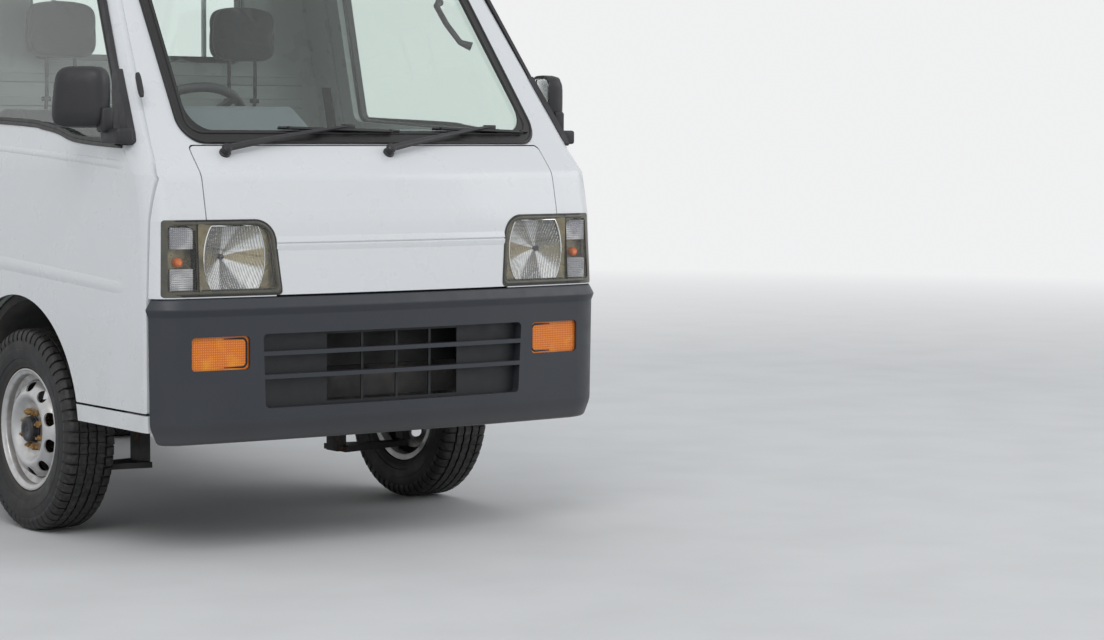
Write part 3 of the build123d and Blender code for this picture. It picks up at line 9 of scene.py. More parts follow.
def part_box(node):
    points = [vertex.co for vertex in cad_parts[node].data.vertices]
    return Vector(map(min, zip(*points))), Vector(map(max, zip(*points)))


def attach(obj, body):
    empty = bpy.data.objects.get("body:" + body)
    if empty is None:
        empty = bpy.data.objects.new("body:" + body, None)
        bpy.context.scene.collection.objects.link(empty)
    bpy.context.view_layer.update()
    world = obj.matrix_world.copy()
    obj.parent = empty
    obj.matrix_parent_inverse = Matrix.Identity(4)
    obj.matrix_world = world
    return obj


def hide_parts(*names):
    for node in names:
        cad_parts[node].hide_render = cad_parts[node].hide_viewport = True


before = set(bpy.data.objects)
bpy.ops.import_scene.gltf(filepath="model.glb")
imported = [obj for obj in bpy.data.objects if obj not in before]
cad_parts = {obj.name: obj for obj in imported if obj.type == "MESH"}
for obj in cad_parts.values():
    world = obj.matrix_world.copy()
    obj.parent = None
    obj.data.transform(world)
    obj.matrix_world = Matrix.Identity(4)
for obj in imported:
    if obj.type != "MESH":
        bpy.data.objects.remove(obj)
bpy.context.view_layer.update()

bl_info = {
    "name": "Small Cab-over Pickup",
    "version": (1, 0, 0),
    "blender": (4, 5, 0),
    "location": "View3D > Sidebar > Pickup",
    "description": "Finishes, tyres, lamps, trim, seats and stage for a small cab-over pickup",
    "category": "Object",
}

# Forms are drawn in millimetres and brought to metres when they become pieces
MM = 0.001
SIDES = (("left", 1), ("right", -1))
AXLES = ("front", "rear")

# Cab surfaces, seen in plan and from the side
BOW_RADIUS = 5600
BOW_CENTRE_Y = 3966
NOSE_Y = BOW_CENTRE_Y - BOW_RADIUS
NOSE_ROWS = ((0, 668), (12, 855), (37, 968), (110, 1046), (634, 1737))
BODY_HALF = 690
BELT_Z = 1000
SIDE_LEAN = 0.16854

# Window opening of a door, as y, z, corner radius
DOOR_WINDOW = (
    (-1428, 1052, 18),
    (-1150, 1052, 60),
    (-1000, 1080, 60),
    (-442, 1106, 30),
    (-442, 1588, 40),
    (-1056, 1588, 60),
)

# Headlamp window seen from the front
LAMP_X = (354, 563)
LAMP_Z = (682, 843)
LAMP_SPLIT_X = 570
CORNER_START_X = 615
CORNER_RADIUS = 75
CORNER_LAMP_X = (577, 640)
PLATE_FRONT_Y = -1598
PLATE_BACK_Y = -1560

# Linear colours
WHITE_PAINT = (0.74, 0.755, 0.765)
ROAD_DUST = (0.36, 0.32, 0.27)
RUST = (0.23, 0.085, 0.03)
# Grey of the roof: partly dust, partly painted shade that tones down the lit top
ROOF_DUST_AND_SHADE = (0.66, 0.67, 0.68)
# Near black of the painted shade in the body's gaps and openings
GAP_SHADE_BLACK = (0.01, 0.01, 0.011)
PALE_ROOM = (0.87, 0.875, 0.88)

# Reflector seen from in front: the bulb's place, and its fans by their angle about it, coloured with painted
# reflections bright and dark by turns, and tan where a band has gone tan
BULB_SPOT = (489, 764)
FAN_PITCH = 0.0067
FAN_REFLECTIONS_AND_TAN = (
    (0.000, (0.36, 0.31, 0.21)),
    (0.028, (0.38, 0.33, 0.22)),
    (0.036, (0.84, 0.85, 0.87)),
    (0.075, (0.78, 0.80, 0.82)),
    (0.092, (0.42, 0.41, 0.38)),
    (0.150, (0.32, 0.31, 0.29)),
    (0.175, (0.72, 0.73, 0.75)),
    (0.238, (0.62, 0.63, 0.64)),
    (0.258, (0.24, 0.24, 0.23)),
    (0.440, (0.20, 0.20, 0.18)),
    (0.480, (0.27, 0.25, 0.19)),
    (0.580, (0.27, 0.25, 0.19)),
    (0.610, (0.36, 0.36, 0.36)),
    (0.650, (0.80, 0.81, 0.83)),
    (0.718, (0.82, 0.83, 0.85)),
    (0.742, (0.19, 0.19, 0.20)),
    (0.845, (0.27, 0.27, 0.28)),
    (0.872, (0.84, 0.85, 0.87)),
    (0.945, (0.85, 0.86, 0.88)),
    (0.960, (0.38, 0.34, 0.23)),
    (1.000, (0.36, 0.31, 0.21)),
)


class Finish:
    """A Principled material whose patterns read Object coordinates."""

    def __init__(self, name, colour, roughness, sockets=None):
        self.material = bpy.data.materials.new(name)
        self.material.use_nodes = True
        self.tree = self.material.node_tree
        self.shader = self.tree.nodes["Principled BSDF"]
        self.colour = (*colour, 1)
        self.normal = None
        self.object = self.node("ShaderNodeTexCoord").outputs["Object"]
        self.shader.inputs["Base Color"].default_value = self.colour
        self.shader.inputs["Roughness"].default_value = roughness
        for label, value in (sockets or {}).items():
            self.shader.inputs[label].default_value = value

    def node(self, kind, **settings):
        """A new node of the tree with its settings."""
        made = self.tree.nodes.new(kind)
        for label, value in settings.items():
            setattr(made, label, value)
        return made

    def feed(self, target, value):
        """Link a socket to another, or set it to a plain value."""
        if isinstance(value, bpy.types.NodeSocket):
            self.tree.links.new(value, target)
        else:
            target.default_value = value

    def place(self, centre=(0, 0, 0), scale=(1, 1, 1), turn=(0, 0, 0)):
        """Coordinates measured from a centre, then stretched and turned."""
        moved = self.node("ShaderNodeMapping")
        moved.inputs["Location"].default_value = [-c * s for c, s in zip(centre, scale)]
        moved.inputs["Rotation"].default_value = turn
        moved.inputs["Scale"].default_value = scale
        self.feed(moved.inputs["Vector"], self.object)
        return moved.outputs["Vector"]

    def noise(self, scale, detail=4, where=None):
        made = self.node("ShaderNodeTexNoise")
        self.feed(made.inputs["Vector"], where or self.object)
        made.inputs["Scale"].default_value = scale
        made.inputs["Detail"].default_value = detail
        return made.outputs["Fac"]

    def cells(self, scale, where=None):
        made = self.node("ShaderNodeTexVoronoi")
        self.feed(made.inputs["Vector"], where or self.object)
        made.inputs["Scale"].default_value = scale
        return made.outputs["Distance"]

    def ribs(self, period, axis, where=None):
        """Even waves across an axis, one for each period in metres."""
        made = self.node("ShaderNodeTexWave", bands_direction=axis)
        self.feed(made.inputs["Vector"], where or self.object)
        made.inputs["Scale"].default_value = math.pi / (10 * period)
        return made.outputs["Fac"]

    def axis(self, label, where=None):
        made = self.node("ShaderNodeSeparateXYZ")
        self.feed(made.inputs["Vector"], where or self.object)
        return made.outputs[label]

    def radius(self, centre):
        """Distance from an axle that runs along X."""
        made = self.node("ShaderNodeVectorMath", operation="LENGTH")
        self.feed(made.inputs[0], self.place(centre, (0, 1, 1)))
        return made.outputs["Value"]

    def sum(self, operation, first, second=0.0):
        """One step of arithmetic on sockets or numbers."""
        made = self.node("ShaderNodeMath", operation=operation)
        self.feed(made.inputs[0], first)
        self.feed(made.inputs[1], second)
        return made.outputs["Value"]

    def span(self, value, low, high, start=0.0, end=1.0):
        """A value's range from low to high, spread from start to end and clamped."""
        made = self.node("ShaderNodeMapRange")
        self.feed(made.inputs["Value"], value)
        for label, number in zip(("From Min", "From Max", "To Min", "To Max"), (low, high, start, end)):
            made.inputs[label].default_value = number
        return made.outputs["Result"]

    def turn(self, across, up):
        """Angle about a point, from 0 at its inner side to 1 once round."""
        angle = self.sum("ARCTAN2", up, across)
        return self.sum("FRACT", self.sum("DIVIDE", angle, math.tau))

    def bands(self, value, stops):
        """Greys or colours that run along a value from 0 to 1."""
        made = self.node("ShaderNodeValToRGB")
        ramp = made.color_ramp.elements
        while len(ramp) < len(stops):
            ramp.new(0.5)
        for stop, (place, colour) in zip(ramp, stops):
            stop.position = place
            stop.color = (*colour, 1)
        self.feed(made.inputs["Fac"], value)
        self.colour = made.outputs["Color"]
        self.feed(self.shader.inputs["Base Color"], self.colour)

    def tint(self, colour, factor):
        """Lay another colour over what is there."""
        made = self.node("ShaderNodeMix", data_type="RGBA")
        first, second = made.inputs[6], made.inputs[7]
        self.feed(made.inputs[0], factor)
        self.feed(first, self.colour)
        second.default_value = (*colour, 1)
        self.colour = made.outputs[2]
        self.feed(self.shader.inputs["Base Color"], self.colour)

    def shine(self, factor, low, high):
        """Roughness that varies between two values with a pattern."""
        self.feed(self.shader.inputs["Roughness"], self.span(factor, 0.3, 0.7, low, high))

    def bump(self, height, depth, strength=1.0):
        """Relief laid over any relief already there."""
        made = self.node("ShaderNodeBump")
        made.inputs["Strength"].default_value = strength
        made.inputs["Distance"].default_value = depth
        self.feed(made.inputs["Height"], height)
        if self.normal:
            self.feed(made.inputs["Normal"], self.normal)
        self.normal = made.outputs["Normal"]
        self.feed(self.shader.inputs["Normal"], self.normal)

    def inner(self):
        """How far a point lies inside the cab's side surface, in metres."""
        rise = self.sum("MAXIMUM", self.sum("SUBTRACT", self.axis("Z"), BELT_Z * MM))
        half = self.sum("SUBTRACT", BODY_HALF * MM, self.sum("MULTIPLY", rise, SIDE_LEAN))
        return self.sum("SUBTRACT", half, self.sum("ABSOLUTE", self.axis("X")))

    def behind_nose(self):
        """One for what lies behind the pillars of the windscreen."""
        (near, low), (far, high) = NOSE_ROWS[-2:]
        lean = (far - near) / (high - low)
        rise = self.sum("MAXIMUM", self.sum("SUBTRACT", self.axis("Z"), low * MM))
        start = self.sum("ADD", self.sum("MULTIPLY", rise, lean), (NOSE_Y + near) * MM)
        return self.span(self.sum("SUBTRACT", self.axis("Y"), start), 0.098, 0.102)

    def behind_skin(self):
        """How far a point lies behind the bowed front surface, in metres."""
        back = self.sum("MULTIPLY", self.sum("POWER", self.axis("X"), 2.0), 0.5 / (BOW_RADIUS * MM))
        for (near, low), (far, high) in zip(NOSE_ROWS, NOSE_ROWS[1:]):
            back = self.sum("ADD", back, self.span(self.axis("Z"), low * MM, high * MM, 0, (far - near) * MM))
        return self.sum("SUBTRACT", self.sum("SUBTRACT", self.axis("Y"), NOSE_Y * MM), back)

    def let_lamps_through(self):
        """Glass that lights what is behind it."""
        clear = self.node("ShaderNodeBsdfTransparent")
        path = self.node("ShaderNodeLightPath")
        mix = self.node("ShaderNodeMixShader")
        self.feed(mix.inputs[0], path.outputs["Is Shadow Ray"])
        self.feed(mix.inputs[1], self.shader.outputs[0])
        self.feed(mix.inputs[2], clear.outputs[0])
        self.feed(self.tree.nodes["Material Output"].inputs["Surface"], mix.outputs[0])


# Finishes, one function for each
def body_paint(name="body_white", lining=None, cut=0.028):
    """Gloss white, dusty near the road, with painted shade in its gaps and openings, a roof greyed partly by
    dust and partly as painted shade, and a lining colour inside the cab where one is given.
    """
    paint = bpy.context.scene.pickup_paint
    finish = Finish(name, paint.body, 0.32, {"Coat Weight": 0.4, "Coat Roughness": 0.1})
    finish.tint((0.62, 0.63, 0.64), finish.span(finish.noise(1.1, 2), 0.45, 0.8, 0, 0.22))
    low = finish.span(finish.axis("Z"), 0.62, 0.28)
    dust = finish.sum("MULTIPLY", low, finish.span(finish.noise(9, 6), 0.35, 0.7, 0.05, 0.28))
    finish.tint(paint.dust, dust)
    speck = finish.span(finish.cells(70), 0.09, 0.05, 0, 0.12)
    finish.tint(paint.dust, finish.sum("MULTIPLY", speck, low))
    if lining == "side":
        # Painted shade: near black on what lies a few millimetres inside the side, in the gaps and openings
        # behind the windscreen pillars
        edge = finish.span(finish.inner(), 0.004, 0.006, 0, 0.97)
        finish.tint(GAP_SHADE_BLACK, finish.sum("MULTIPLY", edge, finish.behind_nose()))
        inside = finish.span(finish.inner(), cut, cut + 0.002)
        finish.tint(paint.cabin, finish.sum("MULTIPLY", inside, finish.behind_nose()))
    if lining == "front":
        # Painted shade: near black on what lies a few millimetres behind the front skin, in its gaps and
        # openings
        edge = finish.span(finish.behind_skin(), 0.004, 0.006, 0, 0.97)
        middle = finish.span(finish.sum("ABSOLUTE", finish.axis("X")), 0.60, 0.59)
        finish.tint(GAP_SHADE_BLACK, finish.sum("MULTIPLY", edge, middle))
    if lining == "back":
        finish.tint(paint.cabin, finish.span(finish.axis("Y"), -0.222, -0.224))
    if lining == "roof":
        # Grey over the roof in broad patches: partly dust, partly painted shade that tones down the top where
        # the lamps fall brightest
        finish.tint(ROOF_DUST_AND_SHADE, finish.span(finish.noise(3, 6), 0.25, 0.7, 0.5, 0.95))
        under = finish.span(finish.axis("Z"), 1.712, 1.708)
        within = finish.sum("MULTIPLY", finish.span(finish.inner(), cut, cut + 0.004), finish.behind_nose())
        before = finish.span(finish.axis("Y"), -0.214, -0.224)
        finish.tint(paint.cabin, finish.sum("MULTIPLY", under, finish.sum("MULTIPLY", within, before)))
        finish.shader.inputs["Coat Weight"].default_value = 0
        finish.shader.inputs["Specular IOR Level"].default_value = 0.15
    gloss = (0.6, 0.75) if lining == "roof" else (0.24, 0.36)
    finish.shine(finish.noise(14, 5), *gloss)
    finish.bump(finish.noise(260, 2), 0.0001, 0.2)
    return finish.material


def bed_paint():
    """White of the load bed, scratched and rubbed by loads, with rust in the scratches."""
    finish = Finish("bed_white", bpy.context.scene.pickup_paint.body, 0.42)
    scratch = finish.noise(7, 8, finish.place(scale=(9, 0.8, 3)))
    finish.tint((0.40, 0.40, 0.39), finish.span(scratch, 0.60, 0.66, 0, 0.45))
    floor = finish.span(finish.axis("Z"), 0.70, 0.66)
    wear = finish.sum("MULTIPLY", floor, finish.span(finish.noise(4, 8), 0.48, 0.62, 0, 0.55))
    finish.tint((0.33, 0.33, 0.32), wear)
    finish.tint(RUST, finish.span(finish.noise(23, 9), 0.70, 0.76, 0, 0.8))
    finish.tint(ROAD_DUST, finish.span(finish.axis("Z"), 0.66, 0.52, 0, 0.35))
    finish.shine(scratch, 0.35, 0.58)
    finish.bump(scratch, 0.0006, 0.3)
    return finish.material


def black_steel(name="chassis_black", rust=0.62):
    """Satin black of the chassis under road dirt, with rust coming through."""
    finish = Finish(name, (0.018, 0.018, 0.02), 0.55)
    patch = finish.noise(17, 8)
    finish.tint(ROAD_DUST, finish.span(finish.noise(5, 6), 0.42, 0.75, 0, 0.22))
    finish.tint(RUST, finish.span(patch, rust, rust + 0.08, 0, 0.8))
    finish.shine(patch, 0.45, 0.8)
    finish.bump(patch, 0.0012, 0.5)
    return finish.material


def underbody_grey():
    """Dull grey of the floor pan, with painted shade in near black where it meets the nose behind the grille.
    """
    finish = Finish("underbody_grey", (0.040, 0.042, 0.044), 0.65)
    patch = finish.noise(11, 8)
    finish.tint(ROAD_DUST, finish.span(patch, 0.42, 0.72, 0, 0.25))
    # Painted shade: near black on the front of the floor pan, behind the grille
    finish.tint((0.006, 0.006, 0.006), finish.span(finish.axis("Y"), -1.38, -1.46))
    finish.shine(patch, 0.55, 0.85)
    finish.bump(finish.noise(120, 4), 0.0008, 0.5)
    return finish.material


def rusted(name, colour=(0.30, 0.15, 0.06), patchy=(0.10, 0.045, 0.02)):
    """Steel gone to rust, golden in some patches and dark in others."""
    finish = Finish(name, colour, 0.8, {"Metallic": 0.25})
    patch = finish.noise(90, 8)
    finish.tint(patchy, finish.span(patch, 0.42, 0.62))
    finish.tint((0.55, 0.36, 0.12), finish.span(finish.noise(210, 4), 0.56, 0.68, 0, 0.7))
    finish.shine(patch, 0.6, 0.95)
    finish.bump(patch, 0.0008, 0.8)
    return finish.material


def glass(name, colour, smear=0.012):
    """Clear glass with a faint smear and a shade band along its top edge."""
    finish = Finish(name, colour, 0.0, {"Transmission Weight": 1.0, "IOR": 1.45})
    finish.tint([c * 0.72 for c in colour], finish.span(finish.axis("Z"), 1.53, 1.66, 0, 0.9))
    finish.shine(finish.noise(4, 6), 0.0, smear)
    finish.let_lamps_through()
    return finish.material


def rubber(name, colour=(0.009, 0.009, 0.010)):
    """Black rubber of seals, greyed in patches."""
    finish = Finish(name, colour, 0.5)
    patch = finish.noise(60, 6)
    finish.tint((0.04, 0.039, 0.037), finish.span(patch, 0.55, 0.75, 0, 0.4))
    finish.shine(patch, 0.3, 0.5)
    finish.bump(finish.noise(700, 2), 0.0001, 0.3)
    return finish.material


def moulded(name, colour, fade=(0.05, 0.054, 0.062), grain=520, low=0.42, high=0.58, dust=0.0):
    """Grained plastic, faded in patches by the sun."""
    finish = Finish(name, colour, 0.5)
    patch = finish.noise(3.5, 6)
    finish.tint(fade, finish.span(patch, 0.45, 0.75, 0, 0.32))
    finish.tint(ROAD_DUST, finish.span(finish.axis("Z"), 0.36, 0.29, 0, dust))
    finish.shine(finish.noise(30, 6), low, high)
    finish.bump(finish.cells(grain), 0.00018, 0.35)
    return finish.material


def aged_bezel():
    """Lamp frame yellowed to olive, darker and yellower in patches."""
    finish = Finish("aged_bezel", (0.085, 0.080, 0.058), 0.4, {"Coat Weight": 0.3})
    patch = finish.noise(28, 7)
    finish.tint((0.048, 0.047, 0.042), finish.span(patch, 0.42, 0.68, 0, 0.8))
    finish.tint((0.15, 0.125, 0.07), finish.span(finish.noise(55, 4), 0.62, 0.74, 0, 0.5))
    finish.shine(patch, 0.3, 0.55)
    finish.bump(patch, 0.0003, 0.3)
    return finish.material


def lamp_lens():
    """Clear lens of a headlamp, faintly smeared."""
    finish = Finish("lamp_lens", (0.97, 0.975, 0.96), 0.0, {"Transmission Weight": 1.0, "IOR": 1.38})
    finish.shine(finish.noise(40, 5), 0.0, 0.03)
    finish.let_lamps_through()
    return finish.material


def mirror_metal(name, haze=(0.55, 0.53, 0.46), low=0.05, high=0.16):
    """Bright reflector, hazed with age."""
    finish = Finish(name, (0.90, 0.91, 0.92), low, {"Metallic": 1.0})
    patch = finish.noise(34, 6)
    finish.tint(haze, finish.span(patch, 0.5, 0.75, 0, 0.6))
    finish.shine(patch, low, high)
    return finish.material


def lamp_silver():
    """Silvered bowl: fluted fans round the bulb, with painted reflections bright and dark by turns, painted
    shade and glints along the flutes, and a band gone tan.
    """
    finish = Finish("lamp_silver", (0.80, 0.81, 0.83), 0.22, {"Metallic": 0.35, "Coat Weight": 0.4})
    inwards = finish.sum("SUBTRACT", BULB_SPOT[0] * MM, finish.sum("ABSOLUTE", finish.axis("X")))
    rise = finish.sum("SUBTRACT", finish.axis("Z"), BULB_SPOT[1] * MM)
    around = finish.turn(inwards, rise)
    # Painted reflections: bands of bright and dark colour by angle about the bulb, with tan where a band has
    # gone tan
    finish.bands(around, FAN_REFLECTIONS_AND_TAN)
    squares = finish.sum("ADD", finish.sum("POWER", inwards, 2.0), finish.sum("POWER", rise, 2.0))
    far = finish.sum("SQRT", squares)
    slant = finish.sum("ADD", inwards, finish.sum("MULTIPLY", rise, 0.25))
    flutes = finish.sum("SINE", finish.sum("MULTIPLY", slant, math.tau / FAN_PITCH))
    middle = finish.sum("SUBTRACT", rise, finish.sum("MULTIPLY", inwards, 0.03))
    fans = finish.span(finish.sum("ABSOLUTE", middle), 0.012, 0.020)
    # Painted shade: dark stripes along the flutes of the fans
    finish.tint((0.10, 0.10, 0.11), finish.sum("MULTIPLY", fans, finish.span(flutes, 0.1, 0.7, 0, 0.5)))
    # Painted glints: bright flecks in the hollows of the flutes, away from the bulb
    outer = finish.sum("MULTIPLY", fans, finish.span(far, 0.030, 0.050))
    hollows = finish.span(flutes, 0.0, -0.6)
    glints = finish.sum("MULTIPLY", hollows, finish.span(finish.noise(230, 3), 0.46, 0.58))
    finish.tint((0.80, 0.81, 0.82), finish.sum("MULTIPLY", outer, finish.sum("MULTIPLY", glints, 0.6)))
    finish.tint((0.36, 0.31, 0.20), finish.span(finish.noise(30, 4), 0.56, 0.74, 0, 0.45))
    finish.shine(finish.noise(46, 5), 0.12, 0.3)
    finish.bump(flutes, 0.0012, 0.6)
    return finish.material


def lens_colour(name, colour, deep, pitch=0.0042):
    """Moulded lamp lens with a fine grid of prisms inside."""
    finish = Finish(name, colour, 0.2, {"Coat Weight": 0.4, "Coat Roughness": 0.05})
    grid = finish.sum("MULTIPLY", finish.ribs(pitch, "X"), finish.ribs(pitch, "Z"))
    finish.tint(deep, finish.span(grid, 0.25, 0.75, 0.75, 0))
    finish.tint([min(1, c * 1.5) for c in colour], finish.span(finish.noise(16, 2), 0.5, 0.72, 0, 0.5))
    finish.shine(grid, 0.1, 0.22)
    finish.bump(grid, 0.0007, 0.6)
    return finish.material


def tail_lens():
    """Tail lamp in three bands: amber at the top, red, and clear below."""
    finish = Finish("tail_lens", (0.42, 0.012, 0.01), 0.14, {"Coat Weight": 0.8, "Coat Roughness": 0.04})
    grid = finish.sum("MULTIPLY", finish.ribs(0.005, "X"), finish.ribs(0.005, "Z"))
    finish.tint((0.75, 0.22, 0.02), finish.span(finish.axis("Z"), 0.5525, 0.5535))
    finish.tint((0.72, 0.72, 0.70), finish.span(finish.axis("Z"), 0.5165, 0.5155))
    finish.tint((0.12, 0.01, 0.01), finish.span(grid, 0.3, 0.8, 0.5, 0))
    finish.shine(grid, 0.1, 0.22)
    finish.bump(grid, 0.0008, 0.6)
    return finish.material


def tyre_rubber(label, centre):
    """Tyre rubber, brown with dust in the tread and grey on the sidewall."""
    finish = Finish(f"tyre_rubber_{label}", (0.008, 0.008, 0.009), 0.6)
    far = finish.radius(centre)
    patch = finish.noise(26, 7)
    finish.tint((0.024, 0.0235, 0.023), finish.span(patch, 0.40, 0.72, 0, 0.6))
    tread = finish.sum("MULTIPLY", finish.span(far, 0.252, 0.262), finish.span(finish.noise(70, 6), 0.4, 0.7))
    finish.tint((0.13, 0.12, 0.105), finish.sum("MULTIPLY", tread, 0.28))
    finish.tint((0.10, 0.085, 0.065), finish.span(far, 0.178, 0.164, 0, 0.5))
    finish.shine(patch, 0.45, 0.7)
    finish.bump(finish.noise(320, 4), 0.0003, 0.5)
    return finish.material


def wheel_steel(label, centre, sign):
    """Silver wheel paint with rust in the hub dish, dirt towards the rim, and painted shade on the rim's
    inside behind the disc.
    """
    finish = Finish(f"wheel_silver_{label}", (0.56, 0.56, 0.565), 0.3, {"Metallic": 0.75})
    far = finish.radius(centre)
    patch = finish.noise(38, 8)
    finish.tint((0.44, 0.425, 0.40), finish.span(patch, 0.42, 0.66, 0, 0.4))
    dish = finish.span(far, 0.078, 0.052)
    finish.tint((0.33, 0.26, 0.20), finish.sum("MULTIPLY", dish, finish.span(patch, 0.3, 0.65, 0.15, 0.65)))
    well = finish.sum("MULTIPLY", finish.span(far, 0.118, 0.132), finish.span(far, 0.156, 0.146))
    finish.tint((0.24, 0.19, 0.14), finish.sum("MULTIPLY", well, finish.span(patch, 0.35, 0.7, 0.05, 0.4)))
    finish.tint(RUST, finish.span(finish.noise(120, 6), 0.70, 0.75, 0, 0.7))
    # Painted shade: near black on the rim's inside behind the disc, seen through the holes
    inboard = finish.axis("X", finish.place(centre, (sign, 1, 1)))
    shade_behind_disc = finish.sum("MULTIPLY", finish.span(inboard, 0.0245, 0.0225), finish.span(far, 0.149, 0.146))
    finish.tint((0.03, 0.026, 0.022), shade_behind_disc)
    finish.shine(patch, 0.3, 0.5)
    finish.bump(patch, 0.0002, 0.25)
    return finish.material


def woven(name, colour, pale, pitch=0.0022):
    """Seat cloth, woven over and under along all three axes."""
    finish = Finish(name, colour, 0.9, {"Sheen Weight": 0.35, "Sheen Roughness": 0.5})
    warp = finish.sum("MAXIMUM", finish.ribs(pitch, "X"), finish.ribs(pitch, "Y"))
    weave = finish.sum("MULTIPLY", warp, finish.ribs(pitch, "Z"))
    finish.tint(pale, finish.span(weave, 0.3, 0.9, 0, 0.6))
    finish.tint([c * 0.6 for c in colour], finish.span(finish.noise(9, 5), 0.5, 0.75, 0, 0.5))
    finish.bump(weave, 0.0005, 0.5)
    return finish.material


def cast_metal(name, colour, dirt=(0.05, 0.045, 0.04)):
    """Rough metal with oily dirt in patches."""
    finish = Finish(name, colour, 0.55, {"Metallic": 0.6})
    patch = finish.noise(22, 8)
    finish.tint(dirt, finish.span(patch, 0.4, 0.65, 0, 0.8))
    finish.shine(patch, 0.45, 0.8)
    finish.bump(finish.noise(260, 4), 0.0005, 0.5)
    return finish.material


def finned_metal():
    """Radiator core: fine dark fins with road dust."""
    finish = Finish("radiator_fins", (0.10, 0.10, 0.105), 0.5, {"Metallic": 0.7})
    fins = finish.ribs(0.003, "Z")
    finish.tint((0.012, 0.012, 0.012), finish.span(fins, 0.4, 0.7))
    finish.tint(ROAD_DUST, finish.span(finish.noise(14, 6), 0.5, 0.75, 0, 0.4))
    finish.bump(fins, 0.001, 0.7)
    return finish.material


# Forms: closed shells built up in one mesh, in millimetres
def loft(form, sections, loop=False):
    """Skin a row of closed sections, capped at both ends or joined into a loop."""
    rings = [[form.verts.new(point) for point in section] for section in sections]
    count = len(rings[0])
    pairs = list(zip(rings, rings[1:]))
    if loop:
        pairs.append((rings[-1], rings[0]))
    for first, second in pairs:
        for i in range(count):
            j = (i + 1) % count
            form.faces.new((first[i], first[j], second[j], second[i]))
    if not loop:
        form.faces.new(rings[0])
        form.faces.new(rings[-1])


def lathe(form, rows, centre=(0, 0, 0), steps=72):
    """Turn a closed outline of offset and radius about an axle along X."""
    sections = []
    for step in range(steps):
        angle = math.tau * step / steps
        around = Vector((0, math.cos(angle), math.sin(angle)))
        sections.append([Vector(centre) + Vector((x, 0, 0)) + around * r for x, r in rows])
    loft(form, sections, loop=True)


def sweep(form, path, profile, loop=False, widths=None):
    """Carry a profile of side and height along points that each have a normal."""
    sections = []
    last = len(path) - 1
    for i, (point, normal) in enumerate(path):
        before = path[i - 1][0] if i or loop else point
        after = path[(i + 1) % len(path)][0] if i < last or loop else point
        ahead = (after - before).normalized()
        side = ahead.cross(normal).normalized()
        up = side.cross(ahead)
        width = widths[i] if widths else 1
        sections.append([point + side * u * width + up * v * width for u, v in profile])
    loft(form, sections, loop)


def disc(radius, steps=14):
    """A round profile."""
    turns = [math.tau * i / steps for i in range(steps)]
    return [(radius * math.cos(a), radius * math.sin(a)) for a in turns]


def ease(form, edges, offset, segments):
    """Round off edges of a form."""
    bmesh.ops.bevel(
        form,
        geom=edges,
        offset=offset,
        segments=segments,
        profile=0.5,
        affect="EDGES",
        clamp_overlap=True,
    )


def block(form, centre, size, soften=1.0, segments=2):
    """A box with rounded edges."""
    made = bmesh.ops.create_cube(form, size=1)["verts"]
    place = Matrix.Translation(centre) @ Matrix.Diagonal((*size, 1))
    bmesh.ops.transform(form, matrix=place, verts=made)
    ease(form, list({edge for vert in made for edge in vert.link_edges}), soften, segments)


def blocks(form, sign, rows, along=0):
    """Rounded boxes of one side, from rows of centre, size, rounding and its segments."""
    for (x, y, z), size, soften, segments in rows:
        block(form, (sign * x, y + along, z), size, soften, segments)


def rounded(rows, steps=6):
    """An outline from corners, each with its radius."""
    points = []
    for i, (a, b, radius) in enumerate(rows):
        corner = Vector((a, b))
        before = (Vector(rows[i - 1][:2]) - corner).normalized()
        after = (Vector(rows[(i + 1) % len(rows)][:2]) - corner).normalized()
        half = before.angle(after) / 2
        if not radius:
            points.append(corner)
            continue
        start = corner + before * (radius / math.tan(half))
        centre = corner + (before + after).normalized() * (radius / math.sin(half))
        first = start - centre
        sweep_angle = math.pi - 2 * half
        sign = 1 if before.x * after.y - before.y * after.x < 0 else -1
        for step in range(steps + 1):
            angle = sign * sweep_angle * step / steps
            points.append(centre + Matrix.Rotation(angle, 2) @ first)
    return points


def dense(outline, step):
    """The same closed outline with points no further apart than a step."""
    points = []
    for i, point in enumerate(outline):
        after = outline[(i + 1) % len(outline)]
        count = max(1, math.ceil((after - point).length / step))
        points += [point.lerp(after, k / count) for k in range(count)]
    return points


def setback(height):
    """How far the nose has leant back at a height."""
    for (near, low), (far, high) in zip(NOSE_ROWS, NOSE_ROWS[1:]):
        if height < high:
            return near + (far - near) * max(0, height - low) / (high - low)
    return far


def on_nose(x, height, proud=0.0):
    """A point of the bowed front surface."""
    bow = BOW_RADIUS - setback(height) + proud
    return Vector((x, BOW_CENTRE_Y - math.sqrt(bow**2 - x**2), height))


def nose_normal(x, height):
    """Normal of the bowed front surface."""
    across = on_nose(x + 1, height) - on_nose(x - 1, height)
    up = on_nose(x, height + 1) - on_nose(x, height - 1)
    return across.cross(up).normalized()


def nose_path(points, proud=0.0):
    """A path over the front surface, each point with its normal."""
    return [(on_nose(x, height, proud), nose_normal(x, height)) for x, height in points]


def on_front(sign, x, height, proud=0.0):
    """A point of the front surface, followed round the rounded corner of the cab."""
    if x <= CORNER_START_X:
        return on_nose(sign * x, height, proud)
    root = on_nose(sign * CORNER_START_X, height)
    turn = math.asin(min(1, (x - CORNER_START_X) / CORNER_RADIUS))
    reach = CORNER_RADIUS + proud
    depth = root.y + CORNER_RADIUS - reach * math.cos(turn) + (x - CORNER_START_X) * 0.11
    return Vector((sign * x, depth, height))


def front_normal(sign, x, height):
    """Normal of the front surface and its rounded corner."""
    if x <= CORNER_START_X:
        return nose_normal(sign * x, height)
    turn = math.asin(min(1, (x - CORNER_START_X) / CORNER_RADIUS))
    return Vector((sign * math.sin(turn), -math.cos(turn), 0.06)).normalized()


def side_half(height):
    """Half the cab's width at a height."""
    return BODY_HALF - SIDE_LEAN * max(0, height - BELT_Z)


